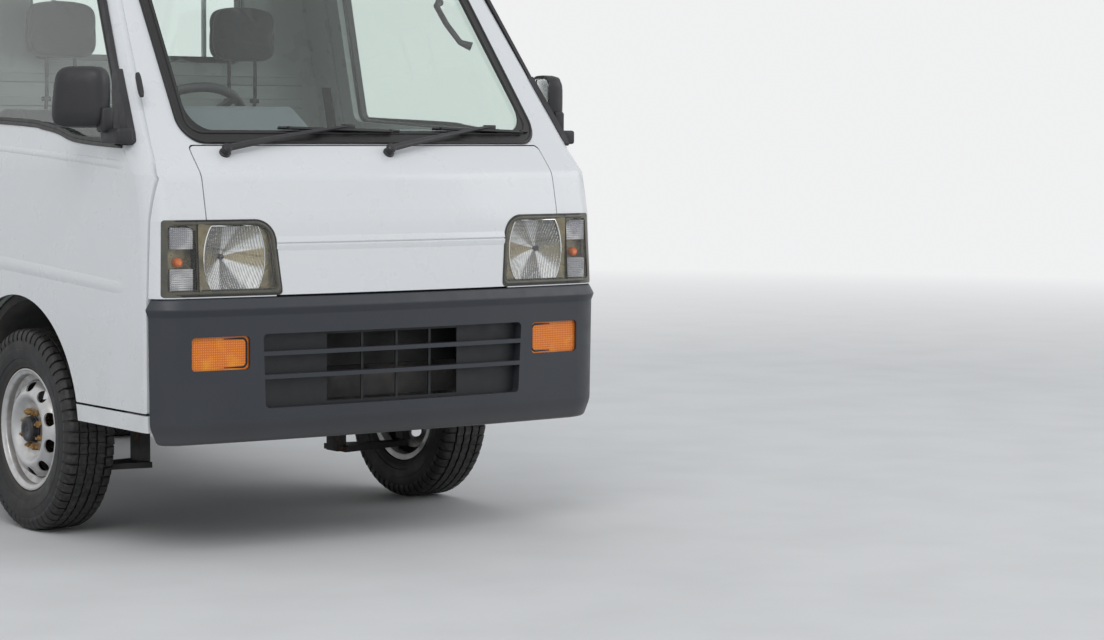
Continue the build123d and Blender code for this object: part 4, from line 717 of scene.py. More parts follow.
def on_side(sign, y, height, proud=0.0):
    """A point of the cab's side surface."""
    return Vector((sign * (side_half(height) + proud), y, height))


def side_normal(sign, height):
    """Normal of the cab's side surface."""
    return Vector((sign, 0, SIDE_LEAN if height > BELT_Z else 0)).normalized()


def wheel_centre(label):
    """Centre of a wheel in millimetres, from its tyre in the frame."""
    low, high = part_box(f"tyre_{label}")
    return (low + high) / 2 / MM


def piece(name, form, finish, body, sharp=32, merge=0.004):
    """A form becomes a named piece that rides on a body."""
    bmesh.ops.remove_doubles(form, verts=form.verts, dist=merge)
    bmesh.ops.recalc_face_normals(form, faces=form.faces)
    bmesh.ops.scale(form, vec=(MM, MM, MM), verts=form.verts)
    mesh = bpy.data.meshes.new(name)
    form.to_mesh(mesh)
    form.free()
    mesh.shade_smooth()
    mesh.set_sharp_from_angle(angle=math.radians(sharp))
    mesh.materials.append(finish)
    made = bpy.data.objects.new(name, mesh)
    bpy.context.scene.collection.objects.link(made)
    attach(made, body)
    return made


def repeat_tree():
    """Node tree that repeats a form along a line, each copy turned a little further."""
    if "repeat" in bpy.data.node_groups:
        return bpy.data.node_groups["repeat"]
    tree = bpy.data.node_groups.new("repeat", "GeometryNodeTree")
    kinds = {
        "Geometry": "NodeSocketGeometry",
        "Count": "NodeSocketInt",
        "Step": "NodeSocketVector",
        "Turn": "NodeSocketVector",
        "Finish": "NodeSocketMaterial",
    }
    for label, kind in kinds.items():
        tree.interface.new_socket(label, in_out="INPUT", socket_type=kind)
    tree.interface.new_socket("Geometry", in_out="OUTPUT", socket_type="NodeSocketGeometry")
    given = tree.nodes.new("NodeGroupInput").outputs
    line = tree.nodes.new("GeometryNodeMeshLine")
    index = tree.nodes.new("GeometryNodeInputIndex")
    turn = tree.nodes.new("ShaderNodeVectorMath")
    turn.operation = "SCALE"
    copies = tree.nodes.new("GeometryNodeInstanceOnPoints")
    real = tree.nodes.new("GeometryNodeRealizeInstances")
    paint = tree.nodes.new("GeometryNodeSetMaterial")
    result = tree.nodes.new("NodeGroupOutput")
    links = (
        (given["Count"], line.inputs["Count"]),
        (given["Step"], line.inputs["Offset"]),
        (given["Turn"], turn.inputs[0]),
        (index.outputs[0], turn.inputs["Scale"]),
        (line.outputs[0], copies.inputs["Points"]),
        (given["Geometry"], copies.inputs["Instance"]),
        (turn.outputs[0], copies.inputs["Rotation"]),
        (copies.outputs[0], real.inputs[0]),
        (real.outputs[0], paint.inputs["Geometry"]),
        (given["Finish"], paint.inputs["Material"]),
        (paint.outputs[0], result.inputs[0]),
    )
    for start, end in links:
        tree.links.new(start, end)
    return tree


def repeat(form, part, count, step=(0, 0, 0), turn=(0, 0, 0), place=None, finish=None):
    """Repeat a part by nodes and add the copies to a form."""
    bmesh.ops.remove_doubles(part, verts=part.verts, dist=0.004)
    bmesh.ops.recalc_face_normals(part, faces=part.faces)
    seed = bpy.data.meshes.new("part")
    part.to_mesh(seed)
    part.free()
    holder = bpy.data.objects.new("part", seed)
    bpy.context.scene.collection.objects.link(holder)
    copies = holder.modifiers.new("repeat", "NODES")
    copies.node_group = repeat_tree()
    values = {"Count": count, "Step": step, "Turn": turn, "Finish": finish}
    for socket in copies.node_group.interface.items_tree:
        if socket.in_out == "INPUT" and socket.name in values:
            copies[socket.identifier] = values[socket.name]
    shown = holder.evaluated_get(bpy.context.evaluated_depsgraph_get())
    mesh = bpy.data.meshes.new_from_object(shown)
    mesh.transform(place or Matrix())
    form.from_mesh(mesh)
    bpy.data.objects.remove(holder)
    bpy.data.meshes.remove(mesh)
    bpy.data.meshes.remove(seed)


def add(form, part, place=None):
    """Add a finished part to a form, moved to its place."""
    bmesh.ops.remove_doubles(part, verts=part.verts, dist=0.004)
    bmesh.ops.recalc_face_normals(part, faces=part.faces)
    mesh = bpy.data.meshes.new("part")
    part.to_mesh(mesh)
    part.free()
    mesh.transform(place or Matrix())
    form.from_mesh(mesh)
    bpy.data.meshes.remove(mesh)


def carved(form, tool):
    """One closed form cut out of another."""
    holders = []
    for part in (form, tool):
        bmesh.ops.remove_doubles(part, verts=part.verts, dist=0.004)
        bmesh.ops.recalc_face_normals(part, faces=part.faces)
        mesh = bpy.data.meshes.new("part")
        part.to_mesh(mesh)
        part.free()
        holder = bpy.data.objects.new("part", mesh)
        bpy.context.scene.collection.objects.link(holder)
        holders.append(holder)
    cut = holders[0].modifiers.new("cut", "BOOLEAN")
    cut.operation = "DIFFERENCE"
    cut.object = holders[1]
    shown = holders[0].evaluated_get(bpy.context.evaluated_depsgraph_get())
    mesh = bpy.data.meshes.new_from_object(shown)
    result = bmesh.new()
    result.from_mesh(mesh)
    bpy.data.meshes.remove(mesh)
    for holder in holders:
        seed = holder.data
        bpy.data.objects.remove(holder)
        bpy.data.meshes.remove(seed)
    return result


def half_turn(sign):
    """Faces a form made for the left side outwards on either side."""
    return Matrix() if sign > 0 else Matrix.Rotation(math.pi, 4, "Z")


# Sizes and colours that a user would change
class PickupPaint(bpy.types.PropertyGroup):
    body: FloatVectorProperty(
        name="Body",
        description="Colour of the body paint",
        subtype="COLOR",
        size=3,
        default=WHITE_PAINT,
    )
    dust: FloatVectorProperty(
        name="Dust",
        description="Colour of the road dust",
        subtype="COLOR",
        size=3,
        default=ROAD_DUST,
    )
    cabin: FloatVectorProperty(
        name="Cabin",
        description="Colour inside the cab",
        subtype="COLOR",
        size=3,
        default=(0.36, 0.40, 0.38),
    )
    bumper: FloatVectorProperty(
        name="Bumper",
        description="Colour of the bumper",
        subtype="COLOR",
        size=3,
        default=(0.028, 0.032, 0.040),
    )


class PickupTyres(bpy.types.PropertyGroup):
    pitches: IntProperty(name="Pitches", description="Lugs round a tyre", default=58, min=20, max=90)
    groove: FloatProperty(
        name="Groove",
        description="Depth of the tread",
        default=0.0075,
        min=0.002,
        max=0.012,
        unit="LENGTH",
    )
    gap: FloatProperty(
        name="Gap",
        description="Gap between shoulder lugs",
        default=0.006,
        min=0.002,
        max=0.012,
        unit="LENGTH",
    )


class PickupTrim(bpy.types.PropertyGroup):
    flute: FloatProperty(
        name="Flute",
        description="Pitch of the reflector's flutes",
        default=0.0065,
        min=0.003,
        unit="LENGTH",
    )
    seal: FloatProperty(
        name="Seal", description="Width of the window seals", default=0.009, min=0.004, unit="LENGTH"
    )
    crease: FloatProperty(
        name="Crease", description="How far the pressed bands stand out", default=0.0022, unit="LENGTH"
    )


class PickupSeats(bpy.types.PropertyGroup):
    pressure: FloatProperty(name="Pressure", description="Pressure of the filling", default=4.0)
    swell: FloatProperty(
        name="Swell", description="Most that a cover moves", default=0.022, min=0.005, unit="LENGTH"
    )
    frames: IntProperty(name="Frames", description="Frames of simulation", default=20, min=1)


class PickupStage(bpy.types.PropertyGroup):
    camera: FloatVectorProperty(
        name="Camera",
        description="Place of the camera",
        subtype="TRANSLATION",
        size=3,
        default=(-3.880, -7.508, 1.088),
    )
    yaw: FloatProperty(name="Yaw", description="Camera's heading", default=36.7)
    pitch: FloatProperty(name="Pitch", description="Camera's tilt", default=-4.03)
    roll: FloatProperty(name="Roll", description="Camera's roll", default=0.3)
    lens: FloatProperty(name="Lens", description="Focal length in millimetres", default=88.57)
    light: FloatProperty(name="Light", description="Power of the main lamp in watts", default=330.0)


PLAIN_FINISHES = {
    "body_paint": ("front_panel", "front_lid"),
    "chassis": ("chassis_frame", "front_suspension", "rear_suspension", "knuckle_left", "knuckle_right"),
    "underbody": ("cab_floor", "fuel_tank"),
    "bed": ("bed_floor", "headboard", "side_gate_left", "side_gate_right", "tailgate"),
    "seal": ("cab_glass_seals",),
    "bumper": ("front_bumper",),
    "grille": ("grille_insert",),
    "bezel": ("headlamp_frames",),
    "lens": ("headlamp_lenses",),
    "amber": ("turn_signals",),
    "cabin": ("dashboard",),
    "black": ("cab_controls", "steering_wheel", "cab_fittings"),
    "glass": ("cab_glass",),
    "door_glass": ("door_glass_left", "door_glass_right"),
    "engine": ("engine",),
    "rusted": ("exhaust",),
    "radiator": ("radiator",),
    "tail": ("tail_lamps",),
    "spare": ("spare_wheel",),
    "side": ("cab_side_left", "cab_side_right", "door_left", "door_right"),
    "back": ("cab_back",),
    "roof": ("roof_panel",),
}


def coat(node, finish):
    """Put a finish on every slot of a node of the frame."""
    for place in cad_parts[node].material_slots:
        place.material = finish


class PICKUP_OT_finishes(bpy.types.Operator):
    """Finish every surface that the frame brings"""

    bl_idname = "pickup.finishes"
    bl_label = "Finishes"

    def execute(self, context):
        paint = context.scene.pickup_paint
        made = {
            "body_paint": body_paint("body_white", "front"),
            "side": body_paint("body_white_sides", "side"),
            "back": body_paint("body_white_back", "back"),
            "roof": body_paint("body_white_roof", "roof"),
            "chassis": black_steel(),
            "underbody": underbody_grey(),
            "bed": bed_paint(),
            "seal": rubber("window_rubber"),
            "bumper": moulded("bumper_charcoal", paint.bumper, low=0.36, high=0.5, dust=0.10),
            "grille": moulded("grille_charcoal", (0.009, 0.010, 0.012), fade=(0.018, 0.019, 0.022)),
            "bezel": aged_bezel(),
            "lens": lamp_lens(),
            "amber": lens_colour("amber_lens", (1.0, 0.31, 0.004), (0.60, 0.10, 0.001), pitch=0.006),
            "cabin": moulded("cabin_blue_grey", (0.15, 0.17, 0.185), fade=(0.20, 0.22, 0.23)),
            "black": moulded("cabin_black", (0.022, 0.023, 0.026), fade=(0.05, 0.05, 0.052)),
            "glass": glass("screen_glass", (0.86, 0.925, 0.895)),
            "door_glass": glass("door_glass", (0.84, 0.91, 0.875)),
            "engine": cast_metal("engine_cast", (0.22, 0.215, 0.20)),
            "rusted": rusted("exhaust_rust"),
            "radiator": finned_metal(),
            "tail": tail_lens(),
            "spare": tyre_rubber("spare", tuple(sum(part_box("spare_wheel"), Vector()) / 2)),
        }
        for label, nodes in PLAIN_FINISHES.items():
            for node in nodes:
                coat(node, made[label])
        return {"FINISHED"}


# Tyres, in wheel coordinates with the outer side at +X: offset and radius
TREAD_RADIUS = 272
CARCASS_ROWS = (
    (47, 152.4),
    (54, 167),
    (58, 169),
    (63, 178),
    (66.4, 190),
    (66.4, 191.6),
    (68.2, 193),
    (70.6, 204),
    (71.8, 214),
    (71.8, 216),
    (71.0, 217),
    (71.4, 228),
    (70.2, 240),
    (68.4, 247),
    (69.4, 248.4),
    (67.6, 255),
    (60, 262),
    (48, 264.6),
)
LUG_ROWS = ((41, 272), (55, 271), (63.5, 266.5), (69, 257), (71.2, 247))
RIB_ROWS = ((15.5, 36.0), (-10.0, 10.0), (-36.0, -15.5))
RIB_SLIT = 0.14
RIB_ZIGZAG = 2.2
LUG_EASE = 0.7


def lug(form, tops, roots, start, end, shift=0.0):
    """A tread block between two angles, its top above its root, shifted sideways at one end."""
    sections = []
    for angle, aside in ((start, 0.0), (end, shift)):
        around = Vector((0, math.sin(angle), math.cos(angle)))
        outline = list(tops) + list(reversed(roots))
        sections.append([Vector((x + aside, 0, 0)) + around * r for x, r in outline])
    loft(form, sections)


def tread_pitch(tyres):
    """One pitch of tread: two shoulder lugs and three zigzag ribs."""
    form = bmesh.new()
    pitch = math.tau / tyres.pitches
    root = TREAD_RADIUS - tyres.groove / MM - 1
    gap = tyres.gap / MM / TREAD_RADIUS
    lug_roots = [(x - 1.5, r - 9) for x, r in LUG_ROWS]
    for sign, offset in ((1, 0), (-1, pitch / 2)):
        tops = [(sign * x, r) for x, r in LUG_ROWS]
        roots = [(sign * x, r) for x, r in lug_roots]
        lug(form, tops, roots, offset, offset + pitch - gap, sign * 1.5)
    for low, high in RIB_ROWS:
        for half, shift in ((0, RIB_ZIGZAG), (0.5, -RIB_ZIGZAG)):
            start = pitch * half
            end = start + pitch / 2 - (gap * RIB_SLIT if half else 0)
            base = RIB_ZIGZAG if half else 0
            tops = [(low + base, TREAD_RADIUS - 0.4), (high + base, TREAD_RADIUS - 0.4)]
            roots = [(low + base, root - 1), (high + base, root - 1)]
            lug(form, tops, roots, start, end, shift)
    bmesh.ops.recalc_face_normals(form, faces=form.faces)
    ease(form, list(form.edges), LUG_EASE, 1)
    return form


class PICKUP_OT_tyres(bpy.types.Operator):
    """Tyres with shoulder lugs, zigzag ribs and sidewall rings"""

    bl_idname = "pickup.tyres"
    bl_label = "Tyres"

    def execute(self, context):
        tyres = context.scene.pickup_tyres
        for end in AXLES:
            for side, sign in SIDES:
                label = f"{end}_{side}"
                centre = wheel_centre(label)
                finish = tyre_rubber(label, tuple(centre * MM))
                form = bmesh.new()
                inner = [(-x, r) for x, r in reversed(CARCASS_ROWS)]
                lathe(form, list(CARCASS_ROWS) + inner, steps=116)
                place = Matrix.Translation(centre) @ half_turn(sign)
                bmesh.ops.transform(form, matrix=place, verts=form.verts)
                turn = (-math.tau / tyres.pitches, 0, 0)
                repeat(form, tread_pitch(tyres), tyres.pitches, turn=turn, place=place, finish=finish)
                made = piece(f"tread_{label}", form, finish, f"wheel_{label}", merge=0.001)
                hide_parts(f"tyre_{label}")
        return {"FINISHED"}


# Wheels in wheel coordinates: offset and radius
RIM_ROWS = (
    (57.2, 164.0),
    (56.2, 165.0),
    (51, 152),
    (30, 152),
    (20, 134),
    (-15, 134),
    (-25, 152),
    (-51, 152),
    (-56.2, 165),
    (-57.2, 164),
    (-57, 161),
    (-54, 148),
    (-27, 148),
    (-17, 130),
    (22, 130),
    (27, 137),
    (30.5, 145),
    (33, 147.6),
    (47, 148.4),
    (50.5, 149.6),
    (52.2, 152),
    (53.4, 157),
    (55.2, 159.6),
    (57.2, 161),
)
DISC_ROWS = (
    (14, 131.5),
    (28, 129.5),
    (44, 120),
    (52, 110),
    (58, 99),
    (57, 88),
    (48, 79),
    (41, 72),
    (38.5, 62),
    (38, 30),
)
DISC_WALL = 4.5
HUB_CAP_ROWS = (
    (32, 0),
    (32, 37.5),
    (42, 37.5),
    (44, 35.5),
    (57, 34.5),
    (61, 31.5),
    (62, 28),
    (62, 17),
    (60.8, 15),
    (60.8, 5),
    (61.6, 4),
    (61.6, 0),
)
DRUM_ROWS = ((-40, 16), (-40, 74), (-36, 78), (8, 78), (11, 75), (11, 46), (33, 44), (33, 16))

# Oval holes of the disc, and the nuts: circles, half sizes, each nut's radius and height
HOLE_CIRCLE = 114.5
HOLE_LONG = 19
HOLE_SHORT = 12.7
HOLE_COUNT = 10
NUT_CIRCLE = 49
NUT_SIZES = ((9.2, 15), (7.6, 11))
NUT_FACE = 38.3
NUT_COUNT = 4
NUT_START = 20


def wheel_disc():
    """The pressed disc, with its ring of oval holes cut through."""
    front = [(p.x, p.y) for p in smooth(DISC_ROWS, 36)]
    back = [(x - DISC_WALL, r) for x, r in reversed(front)]
    form = bmesh.new()
    lathe(form, front + back, steps=80)
    hole = bmesh.new()
    oval = [(math.cos(math.tau * i / 22), math.sin(math.tau * i / 22)) for i in range(22)]
    sections = []
    for x in (-10, 80):
        sections.append([Vector((x, HOLE_LONG * u, HOLE_CIRCLE + HOLE_SHORT * v)) for u, v in oval])
    loft(hole, sections)
    holes = bmesh.new()
    repeat(holes, hole, HOLE_COUNT, turn=(math.tau / HOLE_COUNT, 0, 0))
    return carved(form, holes)


def hex_nut(radius, height):
    """A hexagon nut with a chamfered head and its stud, standing on x = 0."""
    form = bmesh.new()
    turns = [math.radians(a) for a in range(0, 360, 60)]
    flat = [(radius * math.cos(a), radius * math.sin(a)) for a in turns]
    rows = ((0, 1.0), (height - 2.2, 1.0), (height, 0.84))
    loft(form, [[Vector((x, u * s, v * s)) for u, v in flat] for x, s in rows])
    top = height + 6
    stud = ((-0.2, 0), (top - 1, 0), (top, 1), (top, 3.6), (height - 1, 4.4), (-0.2, 4.4))
    lathe(form, stud, steps=14)
    lathe(form, ((0, 0), (0, radius * 1.12), (1.8, radius * 1.1), (1.8, 0)), steps=20)
    return form


class PICKUP_OT_wheels(bpy.types.Operator):
    """Steel wheels with stepped rims, oval holes, drums, hub caps and nuts"""

    bl_idname = "pickup.wheels"
    bl_label = "Wheels"

    def execute(self, context):
        nut_rust = rusted("nut_rust", (0.42, 0.26, 0.10), (0.16, 0.075, 0.028))
        cap_fade = (0.03, 0.03, 0.033)
        cap_black = moulded("hub_cap_black", (0.012, 0.012, 0.014), fade=cap_fade, low=0.3, high=0.45)
        drum_iron = rusted("drum_iron", (0.035, 0.026, 0.02), (0.012, 0.011, 0.01))
        disc_form = wheel_disc()
        disc_mesh = bpy.data.meshes.new("disc")
        disc_form.to_mesh(disc_mesh)
        disc_form.free()
        for end in AXLES:
            for side, sign in SIDES:
                label = f"{end}_{side}"
                body = f"wheel_{label}"
                place = Matrix.Translation(wheel_centre(label)) @ half_turn(sign)
                steel = wheel_steel(label, tuple(wheel_centre(label) * MM), sign)
                wheel = bmesh.new()
                lathe(wheel, RIM_ROWS, steps=96)
                wheel.from_mesh(disc_mesh)
                bmesh.ops.transform(wheel, matrix=place, verts=wheel.verts)
                made = piece(f"wheel_steel_{label}", wheel, steel, body, sharp=38)
                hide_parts(f"rim_{label}")
                for name, rows, finish, slot in (
                    ("hub_cap", HUB_CAP_ROWS, cap_black, "black_plastic"),
                    ("brake_drum", DRUM_ROWS, drum_iron, "engine_metal"),
                ):
                    form = bmesh.new()
                    lathe(form, rows, steps=48)
                    bmesh.ops.transform(form, matrix=place, verts=form.verts)
                    piece(f"{name}_{label}", form, finish, body)
                nuts = bmesh.new()
                for start, (size, height) in enumerate(NUT_SIZES):
                    part = hex_nut(size, height)
                    angle = math.radians(180 / NUT_COUNT * start + NUT_START)
                    seat = Vector((NUT_FACE, NUT_CIRCLE * math.cos(angle), NUT_CIRCLE * math.sin(angle)))
                    bmesh.ops.translate(part, vec=seat, verts=part.verts)
                    turn = (math.tau / NUT_COUNT, 0, 0)
                    repeat(nuts, part, NUT_COUNT, turn=turn, place=place, finish=nut_rust)
                piece(f"wheel_nuts_{label}", nuts, nut_rust, body)
        bpy.data.meshes.remove(disc_mesh)
        return {"FINISHED"}


# Headlamp inside: the bowl's centre, half sizes, depth and mesh, then bulbs and corner prisms
BOWL_CENTRE = (466, 762)
BOWL_HALF = 87
BOWL_OVAL = 122
BOWL_CUT = 80
BOWL_DEPTH = 34
BOWL_CELLS = 96
BULB_RADIUS = 7
ORANGE_RADIUS = 12
PRISM_ROWS = (685, 788)
PRISM_COUNT = 10
PRISM_STEP = 5.4

# The lamp's outer corner, and profiles of its bead, its dividers and its dark strips of painted shade
LAMP_END_X = 656
BEAD_FLAT = [(-4.5, -1), (4.5, -1), (3.8, 1.6), (1.5, 2.8), (-1.5, 2.8), (-3.8, 1.6)]
DIVIDER_FLAT = [(-3.4, -3), (3.4, -3), (2.4, 1.6), (-2.4, 1.6)]
GAP_FLAT = [(-1.1, -3), (1.1, -3), (1.0, 1.6), (-1.0, 1.6)]
STRIP_FLAT = [(-4.5, -2), (4.5, -2), (4.5, 1.5), (-4.5, 1.5)]
OUTLINE_FLAT = [(-2.0, -2), (2.0, -2), (1.8, 1.0), (-1.8, 1.0)]


def bowl_edge(direction):
    """How far the oval bowl, cut level above and below, reaches in a direction."""
    level = BOWL_CUT / max(abs(direction.y), 1e-6)
    oval = 1 / math.hypot(direction.x / BOWL_HALF, direction.y / BOWL_OVAL)
    return min(level, oval)


def bowl(form, sign, flute):
    """An oval reflector cut level above and below, with fluted fans in both its halves."""
    centre_x, centre_z = BOWL_CENTRE
    rows = []
    for i in range(BOWL_CELLS + 1):
        row = []
        for j in range(BOWL_CELLS + 1):
            u, v = 2 * i / BOWL_CELLS - 1, 2 * j / BOWL_CELLS - 1
            z = BOWL_CUT * v
            x = BOWL_HALF * u * math.sqrt(1 - (z / BOWL_OVAL) ** 2)
            reach = math.hypot(x / BOWL_HALF, z / BOWL_OVAL)
            edge = max(0, min(1, (0.96 - abs(u)) / 0.05))
            upper = max(0, min(1, (z - 0.18 * x - 14) / 3))
            lower = max(0, min(1, (-z - 0.22 * abs(x) - 8) / 3))
            fan = math.cos(math.tau * (x + 0.35 * z) / flute) * upper
            fan += math.cos(math.tau * math.degrees(math.atan2(x, 26 - z)) / 5.2) * lower
            y = PLATE_FRONT_Y + 2 + BOWL_DEPTH * (1 - reach**2) - (2.0 * max(upper, lower) + 0.8 * fan) * edge
            row.append(form.verts.new((sign * (centre_x + x), y, centre_z + z)))
        rows.append(row)
    for first, second in zip(rows, rows[1:]):
        for j in range(BOWL_CELLS):
            form.faces.new((first[j], first[j + 1], second[j + 1], second[j]))
    rim = rows[0][:-1] + [row[-1] for row in rows[:-1]] + rows[-1][:0:-1] + [row[0] for row in rows[:0:-1]]
    back = [form.verts.new((v.co.x, PLATE_BACK_Y, v.co.z)) for v in rim]
    for i in range(len(rim)):
        j = (i + 1) % len(rim)
        form.faces.new((rim[i], rim[j], back[j], back[i]))
    form.faces.new(back)


def lamp_plate(form, sign):
    """The plate round the bowl, filling the lamp's window."""
    centre_x, centre_z = BOWL_CENTRE
    edge = rounded(
        (
            (LAMP_X[0] - 8, LAMP_Z[0] - 7, 12),
            (LAMP_X[1] + 5, LAMP_Z[0] - 7, 4),
            (LAMP_X[1] + 5, LAMP_Z[1] + 5, 4),
            (LAMP_X[0] + 14, LAMP_Z[1] + 5, 44),
        ),
        8,
    )
    edge = dense(edge, 3)
    hole = []
    for point in edge:
        away = (point - Vector(BOWL_CENTRE)).normalized()
        hole.append(Vector((centre_x, centre_z)) + away * (bowl_edge(away) + 0.4))
    front, back = PLATE_FRONT_Y, PLATE_FRONT_Y + 3
    rows = ((edge, front), (hole, front), (hole, back), (edge, back))
    loft(form, [[Vector((sign * p.x, y, p.y)) for p in outline] for outline, y in rows], loop=True)


def lamp_outline(low_x, high_x, end_x, over, radii):
    """Outline of a lamp: inner x below and above, outer x, reach over its window, corner radii."""
    low, high = LAMP_Z[0] - over, LAMP_Z[1] + over
    inner, outer, slant = radii
    rows = ((low_x, low, inner), (end_x, low, outer), (end_x, high, outer), (high_x, high, slant))
    return dense(rounded(rows, 8), 8)


def lamp_frame(beads, band, sign):
    """Raised bead round a lamp's frame, the divider beside its corner part, and dark strips of painted shade
    in the gaps round and across the frame and inside its window.
    """
    low, high = LAMP_Z
    bead = lamp_outline(LAMP_X[0] - 5, LAMP_X[0] + 13, LAMP_END_X, 6, (9, 9, 50))
    path = [(on_front(sign, p.x, p.y, 0.4), front_normal(sign, p.x, p.y)) for p in bead]
    sweep(beads, path, BEAD_FLAT, loop=True)
    # Beside the divider bead, a dark strip of painted shade runs across the frame
    for form, over, proud, flat in ((beads, 2, 0, DIVIDER_FLAT), (band, 11, 1.2, GAP_FLAT)):
        heights = [low - over + (high - low + 2 * over) * i / 12 for i in range(13)]
        sweep(form, nose_path([(sign * LAMP_SPLIT_X, height) for height in heights], proud), flat)
    # Dark strips of painted shade inside the lamp's window and round the outside of its frame
    inner = lamp_outline(LAMP_X[0] - 1, LAMP_X[0] + 15, LAMP_X[1] + 2, 2, (8, 3, 44))
    sweep(band, nose_path([(sign * p.x, p.y) for p in inner], -8.5), STRIP_FLAT, loop=True)
    outer = lamp_outline(LAMP_X[0] - 12.5, LAMP_X[0] + 7, LAMP_END_X + 6, 12.5, (13, 13, 58))
    path = [(on_front(sign, p.x, p.y, 0), front_normal(sign, p.x, p.y)) for p in outer]
    sweep(band, path, OUTLINE_FLAT, loop=True)


def lamp_ring(form, sign):
    """The bright bead round the bowl."""
    path = []
    for i in range(120):
        angle = math.tau * i / 120
        away = Vector((math.cos(angle), math.sin(angle)))
        spot = Vector(BOWL_CENTRE) + away * (bowl_edge(away) + 0.3)
        path.append((Vector((sign * spot.x, PLATE_FRONT_Y - 0.8, spot.y)), Vector((0, -1, 0))))
    sweep(form, path, disc(1.7, 8), loop=True)


def bulb(form, centre, radius, length):
    """A round-nosed bulb pointing forwards."""
    rows = [(0, 0), (0, radius)]
    for i in range(7):
        angle = math.pi / 2 * i / 6
        rows.append((length + radius * math.sin(angle), radius * math.cos(angle)))
    part = bmesh.new()
    lathe(part, rows, steps=20)
    add(form, part, Matrix.Translation(centre) @ Matrix.Rotation(-math.pi / 2, 4, "Z"))


class PICKUP_OT_headlamps(bpy.types.Operator):
    """Fluted bowls, plates, bulbs and ribbed corner lamps behind the headlamp lenses"""

    bl_idname = "pickup.headlamps"
    bl_label = "Headlamps"

    def execute(self, context):
        flute = context.scene.pickup_trim.flute / MM
        chrome = lamp_silver()
        tan = aged_tan()
        # The corner prisms' pale colour and dark grid lines are painted highlights and painted shade of clear
        # prisms
        clear = lens_colour("corner_prisms", (0.78, 0.78, 0.82), (0.12, 0.12, 0.15), pitch=0.0054)
        bowls, plates, beads, ribs, hoods, frames, bands = (bmesh.new() for _ in range(7))
        orange = bmesh.new()
        for _, sign in SIDES:
            bowl(bowls, sign, flute)
            lamp_plate(plates, sign)
            lamp_ring(beads, sign)
            lamp_frame(frames, bands, sign)
            middle = (CORNER_LAMP_X[0] + CORNER_LAMP_X[1]) / 2
            block(plates, (sign * middle, -1562, 762), (74, 6, 172), 1)
            for low in PRISM_ROWS:
                part = bmesh.new()
                rod = [(Vector((sign * x, -1584, low)), Vector((0, 0, 1))) for x in CORNER_LAMP_X]
                sweep(part, rod, disc(2.5, 10))
                repeat(ribs, part, PRISM_COUNT, step=(0, 0, PRISM_STEP), finish=clear)
                half = PRISM_STEP * (PRISM_COUNT - 1) / 2
                block(ribs, (sign * middle, -1578, low + half), (60, 8, 54), 1)
            bulb(hoods, (sign * BULB_SPOT[0], PLATE_FRONT_Y + 36, BULB_SPOT[1]), BULB_RADIUS, 10)
            bulb(orange, (sign * (middle + 4), -1566, 752), ORANGE_RADIUS, 8)
        lamps = piece("headlamp_bowls", bowls, chrome, "body", sharp=60)
        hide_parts("headlamp_reflectors")
        piece("headlamp_plates", plates, tan, "body")
        piece("headlamp_beads", beads, mirror_metal("lamp_bead"), "body")
        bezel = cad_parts["headlamp_frames"].material_slots[0].material
        piece("headlamp_rims", frames, bezel, "body", sharp=50)
        # Dark strips of painted shade in the lamps' gaps, in a black rubber finish
        piece("headlamp_bands", bands, rubber("lamp_band"), "body")
        piece("corner_lamp_prisms", ribs, clear, "body")
        piece("headlamp_bulbs", hoods, moulded("bulb_grey", (0.05, 0.05, 0.07)), "body")
        glow = lens_colour("corner_bulb_orange", (0.90, 0.20, 0.01), (0.5, 0.08, 0.005), pitch=0.02)
        piece("corner_lamp_bulbs", orange, glow, "body")
        return {"FINISHED"}


def aged_tan():
    """Lamp housing, tan with age."""
    finish = Finish("lamp_housing_tan", (0.25, 0.22, 0.145), 0.28, {"Metallic": 0.55})
    patch = finish.noise(30, 6)
    finish.tint((0.13, 0.12, 0.09), finish.span(patch, 0.45, 0.7, 0, 0.8))
    finish.shine(patch, 0.2, 0.45)
    finish.bump(finish.noise(220, 3), 0.0003, 0.4)
    return finish.material


# Louvres of the grille's side panels: centre and half length, heights, profile
LOUVRE_X = (300, 88)
LOUVRE_ROWS = (548, 492, 424)
LOUVRE_FLAT = [(-2.2, -3), (2.2, -3), (2.6, 1.2), (-2.2, 2.4)]

# Turn signals: the screws' x and z, the rim's outline as x, z, radius, and its profile
SIGNAL_SCREWS = (452, 581)
SIGNAL_SCREW_Z = 525
SIGNAL_OUTLINE = ((443, 489, 12), (590, 489, 12), (590, 561, 12), (443, 561, 12))
SIGNAL_FLAT = [(-3.4, -3), (3.4, -3), (3.0, 0.8), (1.2, 2.0), (-1.2, 2.0), (-3.0, 0.8)]


